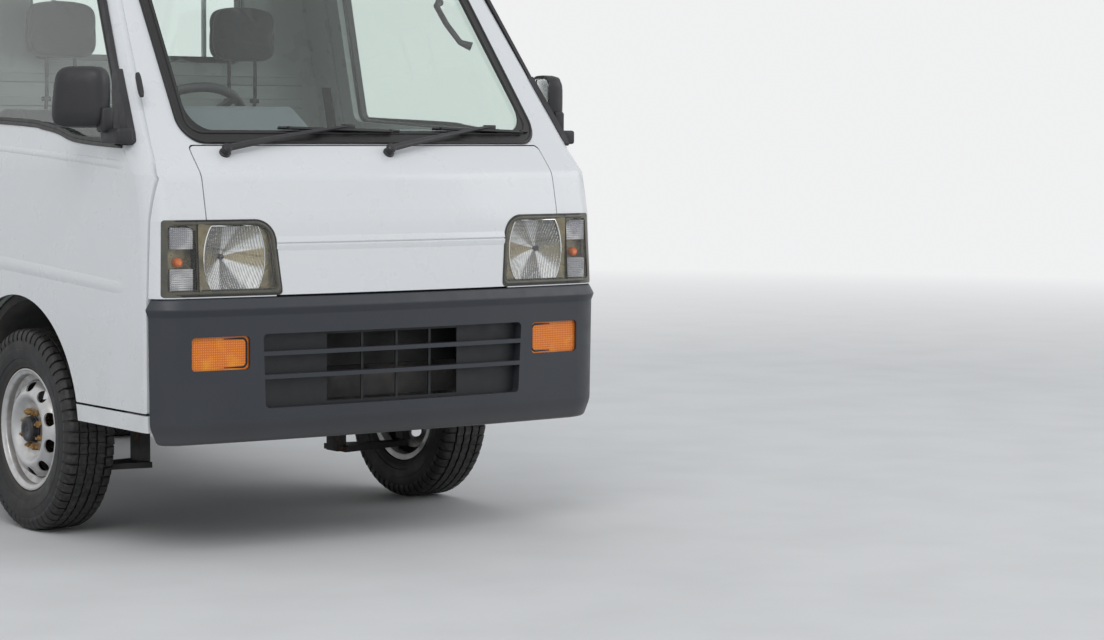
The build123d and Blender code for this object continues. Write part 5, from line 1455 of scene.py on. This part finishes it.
class PICKUP_OT_grille(bpy.types.Operator):
    """Louvres of the grille's side panels, and the rims and screws of the turn signals"""

    bl_idname = "pickup.grille"
    bl_label = "Grille"

    def execute(self, context):
        charcoal = moulded("louvre_black", (0.006, 0.006, 0.007), fade=(0.012, 0.012, 0.013))
        steel = cast_metal("screw_steel", (0.35, 0.33, 0.30))
        centre, half = LOUVRE_X
        louvres, screws, rims = (bmesh.new() for _ in range(3))
        for _, sign in SIDES:
            for height in LOUVRE_ROWS:
                path = []
                for i in range(9):
                    x = sign * (centre - half + 2 * half * i / 8)
                    path.append((on_nose(x, height, -34.5), Vector((0, -1, 0))))
                sweep(louvres, path, LOUVRE_FLAT)
            for x in SIGNAL_SCREWS:
                part = bmesh.new()
                lathe(part, ((0, 0), (0, 3.6), (1.4, 3.2), (1.9, 1.6), (1.9, 0)), steps=16)
                spot = on_nose(sign * x, SIGNAL_SCREW_Z, -1.5)
                place = Matrix.Translation(spot) @ Matrix.Rotation(-math.pi / 2, 4, "Z")
                repeat(screws, part, 1, place=place, finish=steel)
            outline = dense(rounded(SIGNAL_OUTLINE, 6), 16)
            path = nose_path([(sign * p.x, p.y) for p in outline], 0.2)
            sweep(rims, path, SIGNAL_FLAT, loop=True)
        piece("signal_rims", rims, charcoal, "body", sharp=60)
        piece("grille_louvres", louvres, charcoal, "body")
        piece("signal_screws", screws, steel, "body")
        return {"FINISHED"}


# Wipers: pivot x, arm end x, blade from x, blade to x
WIPERS = ((-452, -73, -276, 87), (27, 387, 201, 523))
PIVOT_Z = 1022
PIVOT_ROWS = ((0, 0), (0, 15), (4, 15), (6, 11), (15, 10.5), (17, 13.5), (24, 13), (27.5, 9), (28.5, 0))
ARM_TIP_Z = 1093
ARM_FLAT = [(-6, -3.5), (6, -3.5), (5, 3), (2, 4.6), (-2, 4.6), (-5, 3)]

# Rubber of a blade, and the yoke over it: how proud, how much shorter, how bowed, profile
BLADE_PARTS = (
    (8.0, 0, 0, [(-1.2, -6.5), (1.2, -6.5), (3.2, 1), (2.6, 3), (-2.6, 3), (-3.2, 1)]),
    (15.5, 26, 5.5, [(-3.2, -2), (3.2, -2), (3.2, 1.4), (-3.2, 1.4)]),
)
BLADE_POINTS = 15
BLADE_CLIPS = (0.08, 0.34, 0.66, 0.92)


def blade_height(t):
    """Height of a blade, which falls a little towards its outer end."""
    return 1087 - 8 * t


class PICKUP_OT_wipers(bpy.types.Operator):
    """Tapered wiper arms on round pivots, with bowed blades and their yokes"""

    bl_idname = "pickup.wipers"
    bl_label = "Wipers"

    def execute(self, context):
        black = moulded("wiper_black", (0.014, 0.014, 0.016), fade=(0.04, 0.04, 0.042), low=0.35, high=0.5)
        arms = bmesh.new()
        for pivot, arm_end, blade_from, blade_to in WIPERS:
            normal = nose_normal(pivot, PIVOT_Z)
            foot = on_nose(pivot, PIVOT_Z, 0.4)
            turn = normal.to_track_quat("X", "Z").to_matrix().to_4x4()
            cap = bmesh.new()
            lathe(cap, PIVOT_ROWS, steps=28)
            add(arms, cap, Matrix.Translation(foot) @ turn)
            head = foot + normal * 21
            tip = on_nose(arm_end, ARM_TIP_Z, 24)
            path, widths = [], []
            for i in range(11):
                t = i / 10
                middle = head.lerp(tip, t)
                lift = 4 * math.sin(math.pi * t)
                path.append((middle + normal * lift, normal))
                widths.append(1.45 - 0.85 * t)
            sweep(arms, path, ARM_FLAT, widths=widths)
            for proud, inset, bow, flat in BLADE_PARTS:
                path = []
                for i in range(BLADE_POINTS):
                    t = i / (BLADE_POINTS - 1)
                    x = (blade_from + inset) * (1 - t) + (blade_to - inset) * t
                    rise = proud + bow * math.sin(math.pi * t)
                    path.append((on_nose(x, blade_height(t), rise), nose_normal(x, blade_height(t))))
                sweep(arms, path, flat)
            for t in BLADE_CLIPS:
                x = blade_from * (1 - t) + blade_to * t
                block(arms, on_nose(x, blade_height(t), 12), (9, 12, 9), 1.2)
            block(arms, tip - normal * 4, (34, 14, 13), 2)
        made = piece("wiper_arms", arms, black, "body")
        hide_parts("wipers")
        return {"FINISHED"}


# Mirrors: sections of the head, its centre, then stays and swings for either side
MIRROR_SECTIONS = (
    # depth, half width, half height
    (-1427, 30, 36),
    (-1424, 52, 61),
    (-1415, 64, 73),
    (-1400, 70, 76.5),
    (-1380, 72, 77),
    (-1376, 71, 76),
)
MIRROR_CENTRE = (784, 1161)
MIRROR_STAYS = {1: (708, -1368), -1: (720, -1400)}
MIRROR_SWINGS = {1: 76, -1: 44}
MIRROR_REST_X = 720
MIRROR_REST_Y = -1400

# Waist moulding as y and z with its profile, the panel at the window's front, and its strip
BELT_ROWS = (
    (-444, 1110),
    (-880, 1096),
    (-968, 1088),
    (-1059, 1077),
    (-1150, 1058),
    (-1270, 1049),
    (-1424, 1043),
)
BELT_FLAT = (
    (-10, -3),
    (10, -3),
    (10, 2.2),
    (8.5, 3.4),
    (2, 3.4),
    (0, 2.2),
    (-2, 3.6),
    (-9, 3.6),
    (-10, 2),
)
SAIL_ROWS = (
    (-1466, 1040, 8),
    (-1378, 1044, 4),
    (-1328, 1172, 10),
    (-1313, 1226, 3),
    (-1331, 1234, 3),
    (-1449, 1072, 12),
)
SAIL_STRIP = ((-1331, 1226), (-1310, 1226), (-1062, 1583), (-1085, 1583))
HANDLE_SPOT = (-495, 945)


def soft_box(half_width, half_height, power=4.5, steps=40):
    """A rounded rectangle as a superellipse."""
    points = []
    for i in range(steps):
        angle = math.tau * i / steps
        c, s = math.cos(angle), math.sin(angle)
        x = half_width * math.copysign(abs(c) ** (2 / power), c)
        z = half_height * math.copysign(abs(s) ** (2 / power), s)
        points.append((x, z))
    return points


def swung(sign, x, depth, height):
    """A point of the mirror head once it is swung back about its stay."""
    turn = math.radians(MIRROR_SWINGS[sign])
    stay_x, stay_y = MIRROR_STAYS[sign]
    along, across = x - MIRROR_REST_X, depth - MIRROR_REST_Y
    out = stay_x + along * math.cos(turn) - across * math.sin(turn)
    back = stay_y + along * math.sin(turn) + across * math.cos(turn)
    return Vector((sign * out, back, height))


def mirror(form, sign):
    """Mirror head, its stay and its foot."""
    centre_x, centre_z = MIRROR_CENTRE
    sections = []
    for depth, width, height in MIRROR_SECTIONS:
        section = []
        for x, z in soft_box(width, height):
            lean = 0.10 * z * (1 if x > 0 else 0.15)
            section.append(swung(sign, centre_x + x - lean, depth, centre_z + z))
        sections.append(section)
    loft(form, sections)
    stay_x, stay_y = MIRROR_STAYS[sign]
    block(form, (sign * stay_x, stay_y, 1104), (32, 38, 62), 7, 3)
    block(form, (sign * 699, stay_y - 22, 1064), (46, 96, 38), 7, 3)


def sail(form, sign):
    """The panel in the window's front lower corner, and the strip up its front edge."""
    for outline, faces in ((rounded(SAIL_ROWS, 3), (-17, 2.5)), (SAIL_STRIP, (-10, 1.2))):
        loft(form, [[on_side(sign, y, z, proud) for y, z in outline] for proud in faces])


class PICKUP_OT_screen_seal(bpy.types.Operator):
    """The two beads of the windscreen's rubber seal"""

    bl_idname = "pickup.screen_seal"
    bl_label = "Windscreen Seal"

    def execute(self, context):
        finish = rubber("screen_bead_rubber", (0.006, 0.006, 0.007))
        form = bmesh.new()
        for grow, radius in ((0.5, 3.8), (-23.0, 3.6)):
            rows = []
            for x, height, up in ((-553, 1050, -1), (553, 1050, -1), (504, 1650, 1), (-504, 1650, 1)):
                rows.append((x * (1 + grow / abs(x)), height + up * grow, 60 + grow))
            outline = dense(rounded(rows, 12), 22)
            path = nose_path(outline, 3.2)
            sweep(form, path, disc(radius, 10), loop=True)
        piece("screen_seal_beads", form, finish, "body", sharp=60)
        return {"FINISHED"}


class PICKUP_OT_door_trim(bpy.types.Operator):
    """Mirrors, handles, window seals and waist mouldings of both doors"""

    bl_idname = "pickup.door_trim"
    bl_label = "Door Trim"

    def execute(self, context):
        trim = context.scene.pickup_trim
        black = moulded("mirror_black", (0.017, 0.017, 0.020), fade=(0.038, 0.038, 0.042), grain=420)
        seal = rubber("door_rubber")
        silvered = mirror_metal("mirror_glass", haze=(0.75, 0.77, 0.78), low=0.01, high=0.03)
        for side, sign in SIDES:
            door = f"door_{side}"
            form = bmesh.new()
            mirror(form, sign)
            sail(form, sign)
            block(form, on_side(sign, *HANDLE_SPOT, 13), (17, 118, 26), 6, 4)
            block(form, on_side(sign, *HANDLE_SPOT, 2.3), (4, 132, 40), 1.6, 3)
            fittings = piece(f"mirror_and_handle_{side}", form, black, door, sharp=40)
            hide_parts(f"door_fittings_{side}")
            face = bmesh.new()
            centre_x, centre_z = MIRROR_CENTRE
            sections = []
            for depth, inset in ((-1376.4, 0), (-1374.6, 0), (-1374.2, 1.2)):
                rim = soft_box(62 - inset, 67 - inset)
                section = [swung(sign, centre_x + x - 0.06 * z, depth, centre_z + z) for x, z in rim]
                sections.append(section)
            loft(face, sections)
            piece(f"mirror_glass_{side}", face, silvered, door)
            seals = bmesh.new()
            width = trim.seal / MM
            path = [(on_side(sign, p.x, p.y, -7), side_normal(sign, p.y)) for p in rounded(DOOR_WINDOW, 8)]
            profile = ((-width, -11), (0, -11), (0, 8), (-width * 0.35, 9.6), (-width, 7.6))
            if sign < 0:
                profile = [(-u, v) for u, v in profile]
            sweep(seals, path, profile, loop=True)
            belt = [(on_side(sign, y, z, 0.2), side_normal(sign, z)) for y, z in smooth(BELT_ROWS, 30)]
            sweep(seals, belt, BELT_FLAT)
            piece(f"window_seal_{side}", seals, seal, door)
        return {"FINISHED"}


def smooth(rows, count):
    """Points evenly along a curve that eases through rows of two values."""
    points = [Vector(row) for row in rows]
    made = []
    for i in range(count + 1):
        t = (len(points) - 1) * i / count
        k = min(int(t), len(points) - 2)
        u = t - k
        a, b = points[max(k - 1, 0)], points[k]
        c, d = points[k + 1], points[min(k + 2, len(points) - 1)]
        squared = (2 * a - 5 * b + 4 * c - d) * u**2
        cubed = (3 * b - a - 3 * c + d) * u**3
        made.append(0.5 * ((2 * b) + (c - a) * u + squared + cubed))
    return made


# Seats, drawn about x = 0 and a little smaller than they end up
SEAT_X = 300
POST_ASIDE = (-45, 45)
POST_ROWS = ((-314, 1130), (-322, 1180), (-322, 1310))
PAD_GRID = 8
HEAD_GRID = 6
BACK_SHAPE = (
    # share of the height, share of the width, share of the thickness
    (0, 0.93, 0.80),
    (0.03, 0.985, 0.95),
    (0.10, 1, 1),
    (0.30, 1, 1),
    (0.50, 1, 1),
    (0.70, 1, 1),
    (0.90, 0.985, 0.95),
    (0.97, 0.93, 0.82),
    (1, 0.85, 0.60),
)


def seat_cushion():
    """Seat cushion as a rounded slab."""
    form = bmesh.new()
    rows = ((693, 204), (698, 212), (712, 215), (760, 215), (778, 209), (788, 198), (791, 184))
    loft(form, [[Vector((x, y - 640, z)) for x, y in soft_box(w, w - 5, 7, 56)] for z, w in rows])
    return form


def seat_back():
    """Seat back, leaning rearwards and thinner towards its top."""
    form = bmesh.new()
    sections = []
    for share, wide, thick in BACK_SHAPE:
        front, rear = -407 + 55 * share, -306 + 38 * share
        middle, half = (front + rear) / 2, (rear - front) / 2 * thick
        rim = soft_box(210 * wide, half, 5, 56)
        sections.append([Vector((x, middle + y, 694 + 462 * share)) for x, y in rim])
    loft(form, sections)
    return form


def head_pad():
    """Head pad as a rounded block."""
    form = bmesh.new()
    rows = ((-358, 0.84), (-352, 0.95), (-340, 1), (-305, 1), (-294, 0.95), (-289, 0.84))
    rims = [(y, soft_box(105 * s, 80 * s, 4.6, 48)) for y, s in rows]
    loft(form, [[Vector((x, y, 1365 + z)) for x, z in rim] for y, rim in rims])
    return form


PADS = (
    # name, node that it stands for, form, grid, held below, grooves as axis and place, fill
    ("seat_cushion", "seats", seat_cushion, PAD_GRID, 700, (("x", -128), ("x", 128), ("z", 742)), 0.7),
    ("seat_back", "seats", seat_back, PAD_GRID, 704, (("x", -128), ("x", 128), ("z", 965), ("z", 812)), 0.7),
    ("head_pad", "headrests", head_pad, HEAD_GRID, 1295, (("y", -323),), 0.8),
)


def stuffed(form, seats, grid, held_below):
    """A filled cover: remeshed, swelled by pressure as cloth, capped, then subdivided once."""
    holder = bpy.data.objects.new("cover", bpy.data.meshes.new("cover"))
    bpy.context.scene.collection.objects.link(holder)
    bmesh.ops.recalc_face_normals(form, faces=form.faces)
    bmesh.ops.scale(form, vec=(MM, MM, MM), verts=form.verts)
    form.to_mesh(holder.data)
    form.free()
    even = holder.modifiers.new("even", "REMESH")
    even.mode = "VOXEL"
    even.voxel_size = grid * MM
    holder.data = taken(holder)
    before = [vertex.co.copy() for vertex in holder.data.vertices]
    held = holder.vertex_groups.new(name="held")
    held.add([i for i, point in enumerate(before) if point.z < held_below * MM], 1.0, "REPLACE")
    cloth = holder.modifiers.new("cover", "CLOTH")
    cloth.settings.use_pressure = True
    cloth.settings.uniform_pressure_force = seats.pressure
    cloth.settings.effector_weights.gravity = 0
    cloth.settings.vertex_group_mass = "held"
    for number in range(1, seats.frames + 1):
        bpy.context.scene.frame_set(number)
    holder.data = taken(holder)
    bpy.context.scene.frame_set(1)
    for vertex, start in zip(holder.data.vertices, before):
        move = vertex.co - start
        if move.length > seats.swell:
            vertex.co = start + move.normalized() * seats.swell
    finer = holder.modifiers.new("finer", "SUBSURF")
    finer.levels = finer.render_levels = 1
    result = bmesh.new()
    result.from_mesh(taken(holder))
    bpy.data.objects.remove(holder)
    bmesh.ops.scale(result, vec=(1 / MM, 1 / MM, 1 / MM), verts=result.verts)
    return result


def taken(holder):
    """The mesh that an object's modifiers give, which are then removed."""
    shown = holder.evaluated_get(bpy.context.evaluated_depsgraph_get())
    mesh = bpy.data.meshes.new_from_object(shown)
    holder.modifiers.clear()
    return mesh


def sewn(form, axis, place, width=5.5, depth=6.5):
    """Press a sewn channel into a cover along a plane."""
    form.normal_update()
    for vertex in form.verts:
        away = abs(getattr(vertex.co, axis) - place)
        across = 1 - abs(getattr(vertex.normal, axis))
        if away < 3 * width:
            vertex.co -= vertex.normal * depth * across * math.exp(-((away / width) ** 2))


class PICKUP_OT_seats(bpy.types.Operator):
    """Padded seats, and head pads on steel posts"""

    bl_idname = "pickup.seats"
    bl_label = "Seats"

    def execute(self, context):
        seats = context.scene.pickup_seats
        cloth = woven("seat_cloth", (0.040, 0.042, 0.045), (0.085, 0.088, 0.092))
        for name, node, draw, grid, held_below, grooves, fill in PADS:
            pad = stuffed(draw(), seats, grid, held_below)
            for axis, place in grooves:
                sewn(pad, axis, place)
            for side, sign in SIDES:
                copy = pad.copy()
                bmesh.ops.translate(copy, vec=(sign * SEAT_X, 0, 0), verts=copy.verts)
                made = piece(f"{name}_{side}", copy, cloth, "body", sharp=180)
                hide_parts(node)
            pad.free()
        posts = bmesh.new()
        for _, sign in SIDES:
            for aside in POST_ASIDE:
                x = sign * SEAT_X + aside
                path = [(Vector((x, y, z)), Vector((0, -1, 0))) for y, z in POST_ROWS]
                sweep(posts, path, disc(5.5, 14))
                block(posts, (x, -318, 1166), (24, 24, 14), 4, 2)
        black = moulded("post_black", (0.02, 0.02, 0.022), low=0.2, high=0.35)
        piece("head_pad_posts", posts, black, "body")
        return {"FINISHED"}


# Cabin trim: ribs as height and half width, the grab handle's path, then the door cards' parts
WALL_RIBS = ((1228, 16), (1159, 16), (1050, 12))
WALL_FRONT_Y = -239.5
GRAB_HANDLE = (
    (600, -944, 1452),
    (574, -962, 1440),
    (568, -1022, 1386),
    (578, -1078, 1332),
    (606, -1094, 1320),
)
CARD_BLOCKS = (
    ((643, -830, 850), (7, 900, 270), 3, 3),
    ((636, -830, 900), (10, 820, 70), 4, 3),
    ((622, -640, 812), (42, 330, 42), 12, 4),
)
WINDER_BOSS = ((0, 0), (0, 24), (6, 23), (10, 14), (14, 12), (14, 0))
WINDER_KNOB = ((0, 0), (0, 9), (20, 11), (26, 8), (26, 0))
WINDER_Y = -1010


class PICKUP_OT_cabin(bpy.types.Operator):
    """Ribs of the rear wall, the grab handle and the door cards"""

    bl_idname = "pickup.cabin"
    bl_label = "Cabin"

    def execute(self, context):
        cabin = context.scene.pickup_paint.cabin
        wall = moulded("cabin_wall", cabin, fade=[c * 0.8 for c in cabin], low=0.3, high=0.45)
        grey = moulded("cabin_card_grey", (0.16, 0.175, 0.175), fade=(0.21, 0.22, 0.22), grain=380)
        black = moulded("cabin_handle_black", (0.02, 0.021, 0.023))
        ribs = bmesh.new()
        for height, half in WALL_RIBS:
            path = [(Vector((x, WALL_FRONT_Y, height)), Vector((0, -1, 0))) for x in range(-560, 561, 280)]
            sweep(ribs, path, [(-half, -1), (half, -1), (half - 5, 5), (5 - half, 5)])
        piece("rear_wall_ribs", ribs, wall, "body")
        handle = bmesh.new()
        path = [(Vector(point), Vector((-1, 0, 0))) for point in GRAB_HANDLE]
        sweep(handle, path, disc(8.5, 14), widths=(1.5, 1, 1, 1, 1.5))
        piece("grab_handle", handle, black, "body")
        for side, sign in SIDES:
            form = bmesh.new()
            blocks(form, sign, CARD_BLOCKS)
            piece(f"door_card_{side}", form, grey, f"door_{side}")
            winder = bmesh.new()
            part = bmesh.new()
            lathe(part, WINDER_BOSS, steps=32)
            add(winder, part, Matrix.Translation((sign * 641, WINDER_Y, 850)) @ half_turn(-sign))
            block(winder, (sign * 628, WINDER_Y, 812), (9, 20, 84), 4, 3)
            part = bmesh.new()
            lathe(part, WINDER_KNOB, steps=24)
            add(winder, part, Matrix.Translation((sign * 631, WINDER_Y, 776)) @ half_turn(-sign))
            piece(f"window_winder_{side}", winder, black, f"door_{side}")
        return {"FINISHED"}


# Bed fittings: latches by their place along a gate and their blocks, hooks by their path and pitch
LATCH_Y = (-110, 1588)
LATCH_BLOCKS = (
    ((692, 0, 905), (5, 74, 40), 1.5, 2),
    ((697, 0, 905), (8, 58, 16), 3, 3),
    ((700, 0, 905), (6, 14, 24), 2, 2),
)
HOOK_ROWS = ((1600, 590), (1624, 586), (1632, 574), (1626, 562), (1616, 560))
HOOK_START_X = -580
HOOK_STEP = 290
HOOK_COUNT = 5


class PICKUP_OT_bed(bpy.types.Operator):
    """Latches of the side gates, and the rope hooks below the tailgate"""

    bl_idname = "pickup.bed"
    bl_label = "Bed Fittings"

    def execute(self, context):
        white = body_paint("body_white_latches")
        for side, sign in SIDES:
            form = bmesh.new()
            for along in LATCH_Y:
                blocks(form, sign, LATCH_BLOCKS, along)
            piece(f"gate_latches_{side}", form, white, f"side_gate_{side}")
        steel = black_steel("hook_black", 0.58)
        hooks = bmesh.new()
        part = bmesh.new()
        path = [(Vector((HOOK_START_X, y, z)), Vector((1, 0, 0))) for y, z in HOOK_ROWS]
        sweep(part, path, disc(4, 12))
        repeat(hooks, part, HOOK_COUNT, step=(HOOK_STEP, 0, 0), finish=steel)
        piece("rope_hooks", hooks, steel, "body")
        return {"FINISHED"}


# Pressed bands of a door: y, upper z, lower z
UPPER_BAND = ((-1448, 1002, 978), (-1090, 1021, 1001), (-732, 1036, 1018), (-374, 1050, 1031))
LOWER_BAND = ((-1448, 700, 665), (-1090, 720, 682), (-732, 739, 698), (-374, 752, 712))

# Profile of a band as share of its height and rise
BAND_FLAT = ((1, -1), (1, -0.3), (0.8, 1), (0.3, 1), (0, -0.3), (0, -1))

# Ledge across the lid: its height, half length, and a profile below and above its groove
LID_LINE_Z = 796
LID_LINE_HALF = 353
LEDGE_FLATS = (
    [(-22, -1), (-14, 0.9), (-5, 2.6), (-2.2, 3.0), (-1.4, 2.4), (-1.4, -1)],
    [(1.4, -1), (1.4, 2.2), (2.6, 3.2), (5, 3.0), (14, 1.0), (22, -1)],
)


def band(form, sign, rows, proud, count=40):
    """A pressed band along a door, standing a little proud with sloping edges."""
    tops = smooth([(y, high) for y, high, _ in rows], count)
    lows = smooth([(y, low) for y, _, low in rows], count)
    sections = []
    for i, (top, low) in enumerate(zip(tops, lows)):
        fade = min(1, i / 3, (count - i) / 2)
        height = top.y - low.y
        section = []
        for share, rise in BAND_FLAT:
            out = rise * proud if rise < 0 else proud * (1.4 * fade - 0.4)
            section.append(on_side(sign, top.x, low.y + height * share, out))
        sections.append(section)
    loft(form, sections)


class PICKUP_OT_creases(bpy.types.Operator):
    """Pressed bands of the doors, and the grooved ledge across the lid"""

    bl_idname = "pickup.creases"
    bl_label = "Creases"

    def execute(self, context):
        proud = context.scene.pickup_trim.crease / MM
        white = body_paint("body_white_bands")
        for side, sign in SIDES:
            form = bmesh.new()
            band(form, sign, UPPER_BAND, proud)
            band(form, sign, LOWER_BAND, proud)
            piece(f"door_bands_{side}", form, white, f"door_{side}", sharp=60)
        ledge = bmesh.new()
        path = nose_path([(LID_LINE_HALF * (i / 16 - 1), LID_LINE_Z) for i in range(33)])
        for flat in LEDGE_FLATS:
            sweep(ledge, path, flat)
        piece("lid_ledge", ledge, white, "body", sharp=60)
        return {"FINISHED"}


# Aerial foot: its lower and upper ends, and the way it faces
AERIAL_ENDS = ((-641, -1446, 1163), (-629, -1401, 1221))
AERIAL_NORMAL = (-0.72, -0.60, 0.34)


class PICKUP_OT_antenna(bpy.types.Operator):
    """Foot of the aerial on the right windscreen pillar"""

    bl_idname = "pickup.antenna"
    bl_label = "Aerial Foot"

    def execute(self, context):
        black = moulded("aerial_black", (0.016, 0.016, 0.018), fade=(0.04, 0.04, 0.042))
        form = bmesh.new()
        low, high = (Vector(end) for end in AERIAL_ENDS)
        outwards = Vector(AERIAL_NORMAL).normalized()
        widths = (0.7, 0.95, 1, 1, 1, 0.95, 0.7)
        path = [(low.lerp(high, i / 6), outwards) for i in range(len(widths))]
        oval = [(8 * math.cos(a), 6 * math.sin(a)) for a in (math.tau * i / 16 for i in range(16))]
        sweep(form, path, oval, widths=widths)
        piece("aerial_foot", form, black, "body")
        return {"FINISHED"}


# Lamps of the stage: place, aim and share of the main power, in metres
STAGE_LAMPS = (
    ("main_lamp", (-5.0, -7.4, 7.0), (0, -0.8, 0.8), 0.9),
    ("fill_lamp", (6.5, -5.0, 4.0), (0, -0.6, 0.8), 0.35),
    ("back_lamp", (3.0, 8.5, 4.2), (0, 0.4, 0.9), 0.45),
)
LAMP_WIDTH = 5.0
FLOOR_RADIUS = 70


class PICKUP_OT_stage(bpy.types.Operator):
    """Pale floor, soft lamps and the camera"""

    bl_idname = "pickup.stage"
    bl_label = "Stage"

    def execute(self, context):
        stage = context.scene.pickup_stage
        context.scene.view_settings.view_transform = "Standard"
        world = bpy.data.worlds.new("soft_room")
        context.scene.world = world
        world.use_nodes = True
        tree = world.node_tree
        room = tree.nodes["Background"]
        room.inputs["Color"].default_value = (0.86, 0.90, 0.95, 1)
        room.inputs["Strength"].default_value = 0.62
        pale = tree.nodes.new("ShaderNodeBackground")
        pale.inputs["Color"].default_value = (*PALE_ROOM, 1)
        mix = tree.nodes.new("ShaderNodeMixShader")
        tree.links.new(seen(tree), mix.inputs[0])
        tree.links.new(room.outputs[0], mix.inputs[1])
        tree.links.new(pale.outputs[0], mix.inputs[2])
        tree.links.new(mix.outputs[0], tree.nodes["World Output"].inputs["Surface"])
        self.floor()
        for name, spot, aim, share in STAGE_LAMPS:
            lamp = bpy.data.lights.new(name, "AREA")
            lamp.size = LAMP_WIDTH
            lamp.energy = stage.light * share
            holder = bpy.data.objects.new(name, lamp)
            holder.location = spot
            holder.rotation_euler = (Vector(aim) - Vector(spot)).to_track_quat("-Z", "Y").to_euler()
            holder.visible_transmission = False
            holder.visible_glossy = name != "back_lamp"
            context.scene.collection.objects.link(holder)
        self.camera(stage)
        return {"FINISHED"}

    def floor(self):
        """A round floor that fades into the room's colour where the camera sees it far off."""
        finish = Finish("pale_floor", (0.70, 0.70, 0.695), 0.9)
        finish.tint((0.64, 0.64, 0.635), finish.span(finish.noise(3, 6), 0.4, 0.7, 0, 0.6))
        distance = finish.node("ShaderNodeVectorMath", operation="LENGTH")
        finish.feed(distance.inputs[0], finish.object)
        far = finish.span(distance.outputs["Value"], 5.0, 13.0)
        light = finish.node("ShaderNodeEmission")
        light.inputs["Color"].default_value = (*PALE_ROOM, 1)
        mix = finish.node("ShaderNodeMixShader")
        finish.feed(mix.inputs[0], finish.sum("MULTIPLY", far, seen(finish.tree)))
        finish.feed(mix.inputs[1], finish.shader.outputs[0])
        finish.feed(mix.inputs[2], light.outputs[0])
        finish.feed(finish.tree.nodes["Material Output"].inputs["Surface"], mix.outputs[0])
        form = bmesh.new()
        bmesh.ops.create_circle(form, cap_ends=True, segments=96, radius=FLOOR_RADIUS)
        mesh = bpy.data.meshes.new("floor")
        form.to_mesh(mesh)
        form.free()
        mesh.materials.append(finish.material)
        ground = bpy.data.objects.new("floor", mesh)
        bpy.context.scene.collection.objects.link(ground)

    def camera(self, stage):
        """The camera's place, with heading, tilt and roll in degrees."""
        yaw, pitch, roll = (math.radians(a) for a in (stage.yaw, stage.pitch, stage.roll))
        forwards = Vector((math.sin(yaw), math.cos(yaw), 0))
        ahead = forwards * math.cos(pitch) + Vector((0, 0, math.sin(pitch)))
        level = Vector((math.cos(yaw), -math.sin(yaw), 0))
        upright = level.cross(ahead)
        right = level * math.cos(roll) + upright * math.sin(roll)
        up = upright * math.cos(roll) - level * math.sin(roll)
        data = bpy.data.cameras.new("camera")
        data.lens = stage.lens
        holder = bpy.data.objects.new("camera", data)
        turn = Matrix((right, up, -ahead)).transposed().to_4x4()
        holder.matrix_world = Matrix.Translation(stage.camera) @ turn
        bpy.context.scene.collection.objects.link(holder)
        bpy.context.scene.camera = holder


def seen(tree):
    """One for what the camera sees directly, in a reflection or through glass."""
    path = tree.nodes.new("ShaderNodeLightPath")
    first = tree.nodes.new("ShaderNodeMath")
    second = tree.nodes.new("ShaderNodeMath")
    first.operation = second.operation = "MAXIMUM"
    tree.links.new(path.outputs["Is Camera Ray"], first.inputs[0])
    tree.links.new(path.outputs["Is Glossy Ray"], first.inputs[1])
    tree.links.new(first.outputs[0], second.inputs[0])
    tree.links.new(path.outputs["Is Transmission Ray"], second.inputs[1])
    return second.outputs[0]


OPERATORS = (
    PICKUP_OT_finishes,
    PICKUP_OT_tyres,
    PICKUP_OT_wheels,
    PICKUP_OT_headlamps,
    PICKUP_OT_grille,
    PICKUP_OT_wipers,
    PICKUP_OT_screen_seal,
    PICKUP_OT_door_trim,
    PICKUP_OT_creases,
    PICKUP_OT_antenna,
    PICKUP_OT_seats,
    PICKUP_OT_cabin,
    PICKUP_OT_bed,
    PICKUP_OT_stage,
)
GROUPS = {
    "pickup_paint": PickupPaint,
    "pickup_tyres": PickupTyres,
    "pickup_trim": PickupTrim,
    "pickup_seats": PickupSeats,
    "pickup_stage": PickupStage,
}


class PICKUP_PT_panel(bpy.types.Panel):
    bl_idname = "PICKUP_PT_panel"
    bl_label = "Pickup"
    bl_space_type = "VIEW_3D"
    bl_region_type = "UI"
    bl_category = "Pickup"

    def draw(self, context):
        for operator in OPERATORS:
            self.layout.operator(operator.bl_idname)
        for name in GROUPS:
            group = getattr(context.scene, name)
            box = self.layout.box()
            for label in group.bl_rna.properties.keys():
                if label not in ("rna_type", "name"):
                    box.prop(group, label)


def register():
    for name, group in GROUPS.items():
        bpy.utils.register_class(group)
        setattr(bpy.types.Scene, name, PointerProperty(type=group))
    for made in (*OPERATORS, PICKUP_PT_panel):
        bpy.utils.register_class(made)


def unregister():
    for made in reversed((*OPERATORS, PICKUP_PT_panel)):
        bpy.utils.unregister_class(made)
    for name, group in reversed(GROUPS.items()):
        delattr(bpy.types.Scene, name)
        bpy.utils.unregister_class(group)


def main():
    register()
    for operator in OPERATORS:
        family, name = operator.bl_idname.split(".")
        getattr(getattr(bpy.ops, family), name)()


if __name__ == "__main__":
    main()
